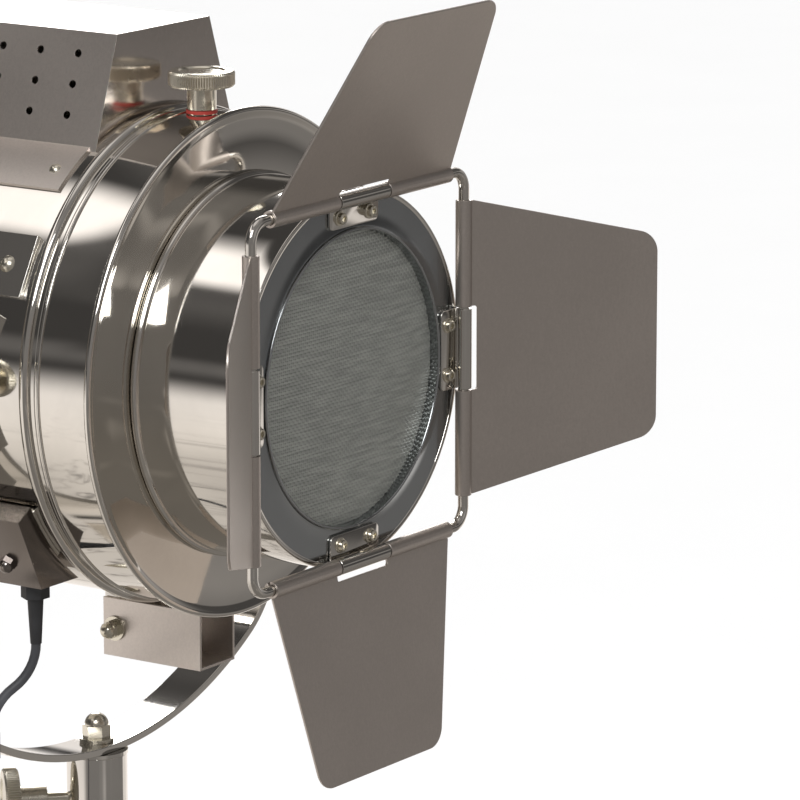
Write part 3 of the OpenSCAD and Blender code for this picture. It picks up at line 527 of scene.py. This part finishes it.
class LampFinish(bpy.types.PropertyGroup):
    """Colours of the lamp's finishes."""

    nickel: FloatVectorProperty(name="Nickel", description="Colour of the polished nickel", subtype="COLOR",
                                size=3, min=0, max=1, default=(0.74, 0.715, 0.67))
    warm_nickel: FloatVectorProperty(name="Fittings", description="Colour of the knobs and bolts",
                                     subtype="COLOR", size=3, min=0, max=1, default=(0.72, 0.68, 0.58))
    door: FloatVectorProperty(name="Doors", description="Colour of the satin barn doors", subtype="COLOR",
                              size=3, min=0, max=1, default=(0.56, 0.51, 0.47))
    weave: FloatVectorProperty(name="Screen", description="Colour of the woven screen", subtype="COLOR",
                               size=3, min=0, max=1, default=(0.42, 0.43, 0.40))
    cord: FloatVectorProperty(name="Cord", description="Colour of the mains cord", subtype="COLOR",
                              size=3, min=0, max=1, default=(0.05, 0.052, 0.058))


class LampSizes(bpy.types.PropertyGroup):
    """Sizes that shape the lamp's fine detail."""

    edge: FloatProperty(name="Sheet edge", description="Rounding of the sheet metal's edges", unit="LENGTH",
                        default=0.0004, min=0.0001, max=0.0007)
    ridges: IntProperty(name="Knurl ridges", description="Ridges round a thumb knob",
                        default=78, min=24, max=120)
    ridge_depth: FloatProperty(name="Knurl depth", description="Depth of the grooves of a thumb knob",
                               unit="LENGTH", default=0.0006, min=0.0001, max=0.001)
    weave_pitch: FloatProperty(name="Weave pitch", description="Distance between the screen's wires",
                               unit="LENGTH", default=0.00165, min=0.0013, max=0.003)


# ---------- cords ----------

CORD_D = 5.0
YOKE_IN = 215.0
CLIP_TURN = np.radians(31)
GLAND = np.array([-0.73 * 126, -33, -0.825 * 126])
YOKE_CLIP = np.array([-YOKE_IN * np.sin(CLIP_TURN), -18, -YOKE_IN * np.cos(CLIP_TURN) - 11])
MAST_CLIP = np.array([-0.868 * 21.5, 0.496 * 21.5, -392])
HUB_CLIP = np.array([0, 68, 868 - HEAD[2]])
COIL_CENTRE = np.array([0, 165, -HEAD[2]])
COIL_R = (43.5, 28.5)
COIL_Z = (2.55, 7.55)


def up(distance):
    """Step straight up."""
    return np.array([0, 0, distance])


def s_bend(a, b, steps=8):
    """Two equal arcs that carry an upright cord from a down and across to b.
    Their radius is (drop squared + offset squared) / 4 offset, and each turns by asin(drop / 2 radius)."""
    across = (b - a) * (1, 1, 0)
    offset, drop = np.linalg.norm(across), a[2] - b[2]
    radius = (drop**2 + offset**2) / (4 * offset)
    t = np.linspace(0, np.arcsin(drop / (2 * radius)), steps + 1)[:, None]
    bend = across / offset * radius * (1 - np.cos(t)) - up(1) * radius * np.sin(t)
    return np.concatenate([a + bend, (b - bend)[-2::-1]])


def cord_routes():
    """Centre lines of the three leads, measured from the tilt axis."""
    upper = np.concatenate([[GLAND - up(10), GLAND - up(18), GLAND - up(26)],
                            s_bend(GLAND - up(33), YOKE_CLIP + up(13.3))])
    middle = s_bend(YOKE_CLIP - up(0.3), MAST_CLIP + up(14.3), 16)
    floor = -HEAD[2] + CORD_D / 2 + 0.05
    side = COIL_R[0]
    fall = [(0, 68, 868), (0, 70, 740), (0, 73, 540), (0, 77, 300), (0, 80, 190), (1, 84, 100), (2, 88, 58),
            (6, 94, 30), (14, 102, 12)]
    fall = [(x, y, z - HEAD[2]) for x, y, z in fall]
    lay = [(26, 113, floor + 1), (side - 9.75, 126, floor + 0.1), (side - 2.75, 142, floor),
           (side - 0.25, 160, floor)]
    lower = np.concatenate([s_bend(MAST_CLIP - up(0.3), HUB_CLIP + up(14), 12), fall, lay])
    return upper, middle, np.concatenate([smooth_route(lower, 4), coil_route()])


def coil_route():
    """Turns wound inwards on the floor, a climb at the inmost turn, then turns wound outwards on top.
    The radius and height are straight-line functions of the angle between the corners of that plan."""
    start, end = -6.3, 188 + 5 * 360
    corners = [start, start + 3 * 360, start + 3 * 360 + 100, end]
    a = np.arange(start + 12, end + 0.1, 12)
    r = np.interp(a, corners, [COIL_R[0], COIL_R[1], COIL_R[1], COIL_R[0]])
    z = np.interp(a, corners, [COIL_Z[0], COIL_Z[0], COIL_Z[1], COIL_Z[1]])
    turns = np.stack([r * np.cos(np.radians(a)), r * np.sin(np.radians(a)), z], 1) + COIL_CENTRE
    last = turns[-1] - turns[-2]
    tail = turns[-1] + last / np.linalg.norm(last) * np.array([[10], [20], [29]])
    return np.concatenate([turns, tail])


class LAMP_OT_cords(bpy.types.Operator):
    """Makes the mains cord: head to yoke clip, yoke clip to mast clip, then down to its coil and plug"""

    bl_idname = "lamp.cords"
    bl_label = "Mains cord"

    def execute(self, context):
        upper, middle, lower = cord_routes()
        softened("plug", "rubber_black", 1.2, 3).name = "plug_moulded"
        self.lead("cord_lead_upper", upper, ["cord_upper"], "object", "hanging", ("head", "yoke"))
        self.lead("cord_lead_middle", middle, ["cord_middle"], "object", "hanging", ("yoke", "stand"))
        self.lead("cord_lead_lower", lower, ["cord_lower", "cord_coil"], "plug", "coiled", None,
                  ["plug_moulded"])
        return {"FINISHED"}

    def lead(self, name, route, nodes, far_end, lay, bodies, going=()):
        """One run of the cord."""
        made = piece(name, tube(route, CORD_D / 2, 16), "cord_charcoal", None if bodies else "stand", nodes,
                     AT_HEAD)
        if bodies:
            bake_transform(made)


# ---------- head ----------

SHEET = 1.5
DRUM_R = 126.0
DRUM_FRONT, DRUM_BACK = -61.0, 145.0
KNOB_Y = -72.0
SCREEN_R = 75.0
SCREEN_Y = -160.5                                       # plane that the screen and the disc of painted shade behind it start from
TILT_KNOB_X = 149.3                                     # where a tilt knob seats, from the lens axis
KNOB_CLAMP_Z = 481.0                                    # from a leg's hinge down to its clamp knob
MAST_SCREW_TURN = 135                                   # heading of the mast thumbscrew
DOOR_FRAME_Y = -169.5


class LAMP_OT_drum(bpy.types.Operator):
    """Spins the drum with its rolled beads, its clamp tab and its hinge lug"""

    bl_idname = "lamp.drum"
    bl_label = "Drum"

    def execute(self, context):
        bead = arc((DRUM_R, DRUM_FRONT + 6), 3, -90, 90, 12)
        profile = np.concatenate([
            [[DRUM_R - SHEET, DRUM_FRONT], [DRUM_R - 0.4, DRUM_FRONT], [DRUM_R, DRUM_FRONT + 0.4]],
            bead, [[DRUM_R, DRUM_FRONT + 20], [DRUM_R, DRUM_BACK], [DRUM_R - SHEET, DRUM_BACK]]])
        shell = moved(lathe(profile, 256), ALONG_LENS)
        low = span("drum")[0]
        tab = slab(fillet([(-10, KNOB_Y + 4), (10, KNOB_Y + 4), (10, DRUM_FRONT + 20), (-10, DRUM_FRONT + 20)],
                          2), 3, 0.4)
        lug = slab(fillet([(-32.5, low[2] + 8), (-32.5, -DRUM_R + 3), (-16.5, -DRUM_R + 3), (-16.5, low[2] + 8),
                           (-17.2, low[2] + 2), (-24.5, low[2]), (-31.8, low[2] + 2)], 2.5), 26, 0.5)
        lug = moved(lug, shift(-13) @ UPRIGHT)
        piece("drum_spun", joined(shell, moved(tab, shift(0, 0, DRUM_R - 9)), lug), "nickel_spun", "head",
              ["drum"], AT_HEAD)
        return {"FINISHED"}


class LAMP_OT_front(bpy.types.Operator):
    """Spins the front pan with its rolled flange, and the snoot with its bead and screen lip"""

    bl_idname = "lamp.front"
    bl_label = "Front pan and snoot"

    def execute(self, context):
        back, face = -61.3, -97.0
        rim = arc((129, face + 0.5), 2, -90, 90, 12)
        pan = np.concatenate([
            [[90.5, face - SHEET], [97, face - SHEET], [99, face - SHEET - 0.05], [113, face - SHEET + 0.5],
             [124.5, face - SHEET + 1.0], [126.5, face - SHEET + 0.75], [128, face - SHEET + 0.2]], rim,
            fillet([(127.5, face + 2.5), (DRUM_R, face + 3), (DRUM_R, back - 4)], 1.2, 4, False),
            arc((DRUM_R, back - 2), 0.9, -90, 90, 6),
            [[DRUM_R, back], [DRUM_R - SHEET, back], [DRUM_R - SHEET, face], [90.5, face]]])
        seat = lathe([(6.5, 125), (7.8, 126.3), (3.1, 126.3), (3.1, 125)], 48)
        piece("front_pan_spun", joined(moved(lathe(pan, 256), ALONG_LENS), moved(seat, shift(0, KNOB_Y, 0))),
              "nickel_spun", "front", ["front_pan"], AT_HEAD)
        front, length, r = -164.5, 66.0, 96.5
        snoot = np.concatenate([
            [[r - 3.2, front + 1.2], [r - 2.6, front + 0.2]],
            fillet([(r - 2.0, front), (r, front), (r, front + 10)], 1.2, 6, False),
            arc((r, front + length - 2.6), 2.4, -80, 90, 10),
            [[r - SHEET, front + length], [r - SHEET, front + 1.2]]])
        piece("snoot_spun", moved(lathe(snoot, 256), ALONG_LENS), "nickel_spun", "front", ["snoot"],
              AT_HEAD)
        ring = np.concatenate([
            [[SCREEN_R, front + 4], [SCREEN_R, front - 1.2]],
            arc((SCREEN_R + 0.9, front - 1.1), 0.9, 180, 360, 8),
            [[SCREEN_R + 1.9, front - 0.3], [SCREEN_R + 3, front], [SCREEN_R + 9, front + 0.1],
             [r - 5, front + 0.25], [r - 2.7, front + 0.3], [r - 2.7, front + SHEET],
             [SCREEN_R + 1.2, front + SHEET], [SCREEN_R + 1.2, front + 4]]])
        piece("snoot_ring_spun", moved(lathe(ring, 192), ALONG_LENS), "nickel_ring", "front", (),
              AT_HEAD)
        return {"FINISHED"}


class LAMP_OT_screen(bpy.types.Operator):
    """Weaves the wire screen of flat wires passing over and under each other, with a black disc of painted shade
    behind
    """

    bl_idname = "lamp.screen"
    bl_label = "Woven screen"

    def execute(self, context):
        pitch = context.scene.lamp_sizes.weave_pitch / MM
        reach = SCREEN_R + 1.0
        count = int(reach / pitch)
        k = np.arange(-count, count + 1)
        wire, ring = np.meshgrid(k, k, indexing="ij")
        a = np.radians([0, 90, 180, 270])
        half_w, half_h, lift = 0.36 * pitch, 0.2 * pitch, 0.3 * pitch
        sets = []
        for weft in (False, True):
            over = np.where((wire + ring + weft) % 2 == 0, 1.0, -1.0) * lift
            along, across = ring * pitch, wire * pitch
            dome = 2.6 * (1 - (along**2 + across**2) / SCREEN_R**2)
            height = over + dome
            along4 = np.broadcast_to(along[..., None], (*along.shape, 4))
            across4 = across[..., None] + half_w * np.cos(a)
            height4 = height[..., None] + half_h * np.sin(a)
            x, z = (across4, along4) if weft else (along4, across4)
            grid = np.stack([x, z, height4], -1)
            inside = (along**2 + across**2) <= reach**2
            n = len(k)
            index = np.arange(n * n * 4).reshape(n, n, 4)
            both = inside[:, :-1] & inside[:, 1:]
            q0, q1 = index[:, :-1][both], index[:, 1:][both]
            quads = np.stack([q0, q1, np.roll(q1, -1, 1), np.roll(q0, -1, 1)], -1).reshape(-1, 4)
            used, quads = np.unique(quads, return_inverse=True)
            sets.append((grid.reshape(-1, 3)[used], quads.reshape(-1, 4).tolist()))
        facing = AT_HEAD @ shift(0, SCREEN_Y - 0.1, 0) @ turn("x", 90)
        piece("screen_weave", joined(*sets), "steel_weave", "front", ["mesh_screen"], facing,
              sharp=80)
        # The disc behind the weave is painted shade: near-black standing in for the shadowed drum inside, so the
        # gaps read dark
        painted_shade_disc = lathe([(0, 2), (SCREEN_R + 5.6, 2), (SCREEN_R + 5.6, 2.6), (0, 2.6)], 96)
        piece("screen_painted_shade_disc", moved(painted_shade_disc, shift(0, SCREEN_Y, 0) @ ALONG_LENS), "screen_painted_shade", "front", (),
              AT_HEAD)
        return {"FINISHED"}


def hexagon(radius):
    """Radius of a hexagon of that corner radius at each angle."""
    return lambda a: radius * np.cos(np.pi / 6) / np.cos((a % (np.pi / 3)) - np.pi / 6)


def cap_screw(head_r, head_h, washer_r, socket_r):
    """Round socket head on its washer, seated at z = 0: a lathe whose socket wall follows a hexagon."""
    profile = np.array([(0, -0.2), (washer_r, -0.2), (washer_r, 0.6), (washer_r - 0.3, 0.8), (head_r, 0.8),
                        (head_r, 0.8 + head_h - 0.5), (head_r - 0.5, 0.8 + head_h),
                        (socket_r + 0.3, 0.8 + head_h), (socket_r, 0.6 + head_h),
                        (socket_r, 0.8 + head_h * 0.4), (0, 0.8 + head_h * 0.4)])
    socket = hexagon(socket_r * 1.08)

    def wobble(a, p):
        r = np.broadcast_to(p[None, :, 0], (len(a), len(p))).copy()
        r[:, 8:10] = socket(a)
        return r

    return lathe(profile, 48, False, wobble)


ROD_R = 2.8
KNUCKLE_R = 4.3
ROD_GAP = 0.12
FRAME_HALF = 93.0


def curl(width, start, sweep):
    """A strip of sheet rolled round the hinge rod: an arc-shaped section carried along X."""
    outer = arc((0, 0), KNUCKLE_R, start, start + sweep, 36)
    back = arc((0, 0), ROD_R + ROD_GAP, start + sweep, start, 36)
    section = np.concatenate([outer, back])
    solid = slab(section, width, 0.15, 1)
    return moved(solid, shift(-width / 2) @ UPRIGHT)


class LAMP_OT_wire_frame(bpy.types.Operator):
    """Bends the square wire frame, rolls its hinge brackets round it and screws them to the snoot"""

    bl_idname = "lamp.wire_frame"
    bl_label = "Wire frame and brackets"

    def execute(self, context):
        corners = [(sx * FRAME_HALF, sz * FRAME_HALF) for sx, sz in ((1, 1), (-1, 1), (-1, -1), (1, -1))]
        line = fillet(corners, 10, 12)
        path = np.stack([line[:, 0], np.full(len(line), DOOR_FRAME_Y), line[:, 1]], 1)
        piece("wire_frame", tube(path, ROD_R, 24, closed=True), "nickel_rod", "front", ["door_frame"],
              AT_HEAD)
        plate = fillet([(-21, -15), (21, -15), (21, 0), (-21, 0)], [3, 3, 0.1, 0.1], 5)
        brackets, screws = [], []
        for k in range(4):
            tab = moved(slab(plate, SHEET, 0.35), shift(0, 5, 0) @ turn("x", 90))
            hook = slab(fillet([(-21, 2.9), (21, 2.9), (21, 5.0), (-21, 5.0)], 0.2), 2.2, 0.3)
            hook = moved(hook, shift(0, 0, -2.2))
            brackets.append(moved(joined(curl(42, -30, 300), tab, hook), at_door(k)))
            for side in (-13, 13):
                seat = shift(side, 3.5, -9.5) @ turn("x", 90)
                screws.append(moved(cap_screw(2.9, 2.4, 3.9, 1.5), at_door(k) @ seat))
        piece("hinge_brackets_rolled", joined(*brackets), "nickel_rod", "front", ["hinge_brackets"])
        piece("bracket_cap_screws", joined(*screws), "nickel_warm", "front", ["bracket_screws"])
        return {"FINISHED"}


class LAMP_OT_barn_doors(bpy.types.Operator):
    """Cuts the four barn doors and rolls their knuckles round the hinge rods"""

    bl_idname = "lamp.barn_doors"
    bl_label = "Barn doors"

    def execute(self, context):
        edge = context.scene.lamp_sizes.edge / MM
        root, length, wide, tip, notch = 3.7, 108.0, 155.0, 108.0, 22.0
        outline = fillet([(notch, root), (wide / 2, root), (tip / 2 - 1.2, length), (-tip / 2 + 1.2, length),
                          (-wide / 2, root), (-notch, root), (-notch, KNUCKLE_R + 3), (notch, KNUCKLE_R + 3)],
                         [0.8, 1.2, 12, 12, 1.2, 0.8, 1.5, 1.5], 10)
        leaf = moved(slab(outline, SHEET, edge), shift(0, SHEET / 2, 0) @ turn("x", 90))
        wing = wide / 2 - notch
        knuckles = [moved(curl(wing, -62, 335), shift(s * (notch + wing / 2), 0, 0)) for s in (-1, 1)]
        for k, (name, _, lean) in enumerate(DOORS):
            made = piece(f"barn_door_{name}", joined(leaf, *knuckles), "nickel_satin", f"barn_{name}",
                         [f"door_{name}"], at_door(k) @ turn("x", lean))
            made.modifiers.new("flat faces", "WEIGHTED_NORMAL").keep_sharp = True
        return {"FINISHED"}


def thumb_knob(stem_r, stem_h, shank_r, shank_len, sizes, bore=0.0):
    """Knurled thumb knob, face at z = 0: a lathe whose rim is cut by rounded grooves,
    r = R - depth (1 - |sin(ridges a / 2)|)."""
    R, t, z = 17.0, 8.0, stem_h
    rim = [(R - 1.0, z), (R, z + 1.0), (R, z + 2.2), (R, z + t - 2.2), (R, z + t - 1.0), (R - 1.0, z + t)]
    under = [(bore, -shank_len), (shank_r - 0.4, -shank_len), (shank_r, -shank_len + 0.4), (shank_r, 0),
             (stem_r - 0.3, 0), (stem_r, 0.3), (stem_r, z - 1.2), (stem_r + 1.2, z)]
    over = [(R - 2.0, z + t + 0.1), (R - 3.4, z + t + 0.3), (R - 5.0, z + t + 0.2), (R - 6.0, z + t - 0.6),
            (4, z + t - 0.7), (0, z + t - 0.7)]
    if bore:
        under[:4] = [(bore, 0.0)]
    profile = np.array(under + rim + over)
    first = len(under)
    depth = sizes.ridge_depth / MM

    def wobble(a, p):
        r = np.broadcast_to(p[None, :, 0], (len(a), len(p))).copy()
        groove = depth * (1 - np.abs(np.sin(a * sizes.ridges / 2)))
        r[:, first + 1:first + 5] -= groove
        return r

    shape = lathe(profile, sizes.ridges * 6, False, wobble)
    if bore:
        inside = lathe([(bore, 0), (bore, stem_h + 1), (0, stem_h + 1)], sizes.ridges * 6, False)
        shape = joined(shape, inside)
    return shape


class LAMP_OT_knobs(bpy.types.Operator):
    """Turns and knurls every thumb knob"""

    bl_idname = "lamp.knobs"
    bl_label = "Thumb knobs"

    def execute(self, context):
        sizes = context.scene.lamp_sizes
        knob = shift(0, KNOB_Y, 128.0)
        stop = lathe([(0, -19), (5, -19), (5, -16), (0, -16)], 32, False)
        top = joined(thumb_knob(7.5, 12, 3, 17, sizes), stop)
        piece("top_knob_turned", top, "nickel_warm", "front_knob", ["top_knob"], AT_HEAD @ knob)
        for side, name in ((-1, "left"), (1, "right")):
            place = AT_HEAD @ turn("z", 0 if side > 0 else 180) @ shift(TILT_KNOB_X) @ ALONG_X
            piece(f"tilt_knob_{name}_turned", thumb_knob(9, 12, 0, 0, sizes, 4.08), "nickel_warm",
                  f"tilt_clamp_{name}", [f"tilt_knob_{name}"], place)
        mast = np.array(JOINTS["mast_clamp_turn"]["pos_m"]) / MM
        place = shift(*mast) @ turn("z", MAST_SCREW_TURN) @ shift(27) @ ALONG_X
        piece("mast_thumbscrew_turned", thumb_knob(7, 15, 3, 12.8, sizes), "nickel_warm", "mast_clamp",
              ["mast_thumbscrew"], place)
        for leg in LEGS:
            place = at_leg(leg) @ shift(17.3, 0, -KNOB_CLAMP_Z) @ ALONG_X
            piece(f"leg_{leg}_knob_turned", thumb_knob(7, 9, 3, 6, sizes), "nickel_warm", f"leg_{leg}_clamp",
                  [f"leg_{leg}_knob"], place)
        return {"FINISHED"}


class LAMP_OT_casing(bpy.types.Operator):
    """Gives the folded sheet pieces their rounded edges, the round ones their plate, and turns the mast"""

    bl_idname = "lamp.casing"
    bl_label = "Casing and yoke"

    def execute(self, context):
        for node, width in (("yoke", 0.5), ("trunnion_bracket_left", 0.5), ("trunnion_bracket_right", 0.5)):
            softened(node, "nickel_mirror", width)
        coat("nickel_mirror", "hub", "yoke_spigot")
        low, high = span("mast_tube")
        mast = fillet([(14, low[2]), (16, low[2]), (16, high[2]), (14, high[2])], 0.4, 4)
        piece("mast_turned", lathe(mast, 128), "nickel_mirror", "stand", ["mast_tube"],
              AT_HEAD)
        coat("nickel_mirror", "rear_cap")
        softened("vent_housing", "nickel_brushed", 0.7)
        softened("hinge_channel", "nickel_brushed", 0.4)
        softened("terminal_box", "nickel_dark", 0.9)
        for leg in LEGS:
            softened(f"leg_{leg}_fittings", "nickel_mirror", 0.8)
        coat("nickel_mirror", "vent_baffle", "lampholder_bracket")
        return {"FINISHED"}


class LAMP_OT_legs(bpy.types.Operator):
    """Gives the wooden rails and sliders their eased edges and grain, and the feet their rubber"""

    bl_idname = "lamp.legs"
    bl_label = "Legs"

    def execute(self, context):
        for leg in LEGS:
            inverse = np.linalg.inv(at_leg(leg))
            for part in ("rails", "slider"):
                made = softened(f"leg_{leg}_{part}", "wood_dark", 1.4, 3)
                count = len(made.data.vertices)
                at = np.zeros(count * 3, np.float32)
                made.data.vertices.foreach_get("co", at)
                local = (at.reshape(-1, 3) / MM) @ inverse[:3, :3].T + inverse[:3, 3]
                local[:, 1] += 11 * leg + (7 if part == "rails" else 0)
                grain = made.data.attributes.new("grain", "FLOAT_VECTOR", "POINT")
                grain.data.foreach_set("vector", (local * MM).astype(np.float32).ravel())
            softened(f"leg_{leg}_foot", "rubber_black", 0.8)
        return {"FINISHED"}


class LAMP_OT_fasteners(bpy.types.Operator):
    """Gives the bolts, nuts, clips, switch, washer and lamp inside their finishes"""

    bl_idname = "lamp.fasteners"
    bl_label = "Fasteners and small parts"

    def execute(self, context):
        coat("nickel_warm", "case_screws", "bracket_bolts", "switch_lever")
        for node in ("leg_pins", "yoke_nut", "hinge_bolt"):
            softened(node, "nickel_warm", 0.3)
        coat("rubber_black", "mast_clips", "yoke_clip", "cord_gland", "switch_body")
        coat("washer_red", "knob_washer")
        coat("ceramic_white", "lampholder")
        coat("bulb_pearl", "bulb")
        return {"FINISHED"}


# ---------- stage ----------

class LAMP_OT_stage(bpy.types.Operator):
    """Lays the floor and sets the soft studio light and the camera"""

    bl_idname = "lamp.stage"
    bl_label = "Stage"

    def execute(self, context):
        scene = context.scene
        camera = bpy.data.objects.new("camera", bpy.data.cameras.new("camera"))
        scene.collection.objects.link(camera)
        camera.data.lens, camera.data.sensor_width = 247.4, 36
        camera.data.clip_end = 200
        camera.location = (-2.2127, -1.6084, 2.0260)
        aim = Vector((0.33245, 0.13361, 1.35463)) - camera.location
        camera.rotation_euler = aim.to_track_quat("-Z", "Y").to_euler()
        scene.camera = camera

        floor_mesh = bpy.data.meshes.new("floor")
        floor_mesh.from_pydata([(-30, -30, 0), (30, -30, 0), (30, 30, 0), (-30, 30, 0)], [], [(0, 1, 2, 3)])
        floor = bpy.data.objects.new("floor", floor_mesh)
        scene.collection.objects.link(floor)
        floor.visible_glossy = False
        pale = Surface("floor_pale")
        fleck = pale.noise(pale.place(), 3.0, 3.0)
        floor_mesh.materials.append(pale.set(Base_Color=pale.mix(fleck, (0.93, 0.93, 0.93), (0.95, 0.95, 0.95)),
                                             Roughness=0.9))
        self.sky(scene)
        for name, place, size, power in (("key", (-2.5, -1.2, 3.6), 1.6, 55),
                                         ("rim", (2.4, 2.2, 2.8), 1.4, 40)):
            light = bpy.data.objects.new(name, bpy.data.lights.new(name, "AREA"))
            light.data.size, light.data.energy = size, power
            light.location = place
            light.rotation_euler = (Vector(HEAD * MM) - Vector(place)).to_track_quat("-Z", "Y").to_euler()
            light.visible_camera = False
            scene.collection.objects.link(light)
        scene.view_settings.view_transform = "Standard"
        return {"FINISHED"}

    def sky(self, scene):
        """A soft room that only mirrors see: a white ceiling, a bright strip behind, warm light from below and
        dark walls between. All other rays meet even white."""
        world = bpy.data.worlds.new("studio")
        scene.world = world
        world.use_nodes = True
        s = Surface.__new__(Surface)
        s.tree = world.node_tree
        direction = s.node("ShaderNodeTexCoord", output="Generated")
        split = s.tree.nodes.new("ShaderNodeSeparateXYZ")
        s.link(direction, split.inputs[0])
        x, y, z = (Value(s, split.outputs[i]) for i in range(3))
        behind = y.step(0.0, 0.3)
        low = 1 - z.step(-0.2, 0.02)
        strip = z.step(0.66, 0.73) * (1 - z.step(0.8, 0.84)) * (1 - x.step(-0.12, 0.1))
        right = x.step(0.5, 0.72) * z.step(0.02, 0.12) * (1 - z.step(0.5, 0.62))
        ceiling = z.step(0.9, 0.97)
        stretched = s.node("ShaderNodeMapping", {}, {"Vector": direction, "Scale": (1.2, 0.8, 2.4)})
        streak = s.noise(stretched, 1.2, 1.0, 0.4, 0.6)
        squiggle = s.noise(direction, 6.5, 2.0, 0.5, 2.2)
        line = squiggle.step(0.47, 0.5) * (1 - squiggle.step(0.5, 0.53)) * (1 - z.step(-0.7, -0.2))
        back = (0.055 + low * (1.0 - 0.35 * (1 - z.step(-0.75, -0.35))) + strip * 1.5 + right * 0.9
                + ceiling * 0.9 + 0.14 * streak.step(0.4, 0.72) * z.step(0.0, 0.1)) * (1 - 0.6 * line)
        navy = z.step(-0.18, -0.1)
        white_wedge = x.step(0.84, 0.88) * (1 - navy)
        front = (0.22 + 0.7 * white_wedge - 0.15 * navy * x.step(0.5, 0.7) + 0.5 * ceiling
                 + 0.3 * streak.step(0.5, 0.7))
        level = back * behind + front * (1 - behind)
        colour = s.mix(z.step(-0.75, 0.1), (1.0, 0.925, 0.85), (1.0, 0.95, 0.92))
        lit = s.node("ShaderNodeVectorMath", {"operation": "SCALE"}, {0: colour, "Scale": level})
        glossy = s.node("ShaderNodeLightPath", output="Is Glossy Ray")
        shown = s.mix(glossy, (1.06, 1.06, 1.06), lit)
        background = s.tree.nodes["Background"]
        s.link(shown, background.inputs["Color"])


class LAMP_PT_panel(bpy.types.Panel):
    """Buttons and settings of the lamp"""

    bl_idname = "LAMP_PT_panel"
    bl_label = "Tripod Spotlight Lamp"
    bl_space_type = "VIEW_3D"
    bl_region_type = "UI"
    bl_category = "Lamp"

    def draw(self, context):
        for group in (context.scene.lamp_sizes, context.scene.lamp_finish):
            for prop in group.__annotations__:
                self.layout.prop(group, prop)
        for operator in OPERATORS:
            self.layout.operator(operator.bl_idname)


OPERATORS = (LAMP_OT_stage, LAMP_OT_cords, LAMP_OT_drum, LAMP_OT_front, LAMP_OT_screen, LAMP_OT_wire_frame,
             LAMP_OT_barn_doors, LAMP_OT_knobs, LAMP_OT_casing, LAMP_OT_legs, LAMP_OT_fasteners)
CLASSES = (LampFinish, LampSizes, *OPERATORS, LAMP_PT_panel)


def register():
    for cls in CLASSES:
        bpy.utils.register_class(cls)
    bpy.types.Scene.lamp_finish = PointerProperty(type=LampFinish)
    bpy.types.Scene.lamp_sizes = PointerProperty(type=LampSizes)


def unregister():
    del bpy.types.Scene.lamp_finish
    del bpy.types.Scene.lamp_sizes
    for cls in reversed(CLASSES):
        bpy.utils.unregister_class(cls)


def main():
    register()
    for operator in OPERATORS:
        group, name = operator.bl_idname.split(".")
        getattr(getattr(bpy.ops, group), name)()


if __name__ == "__main__":
    main()
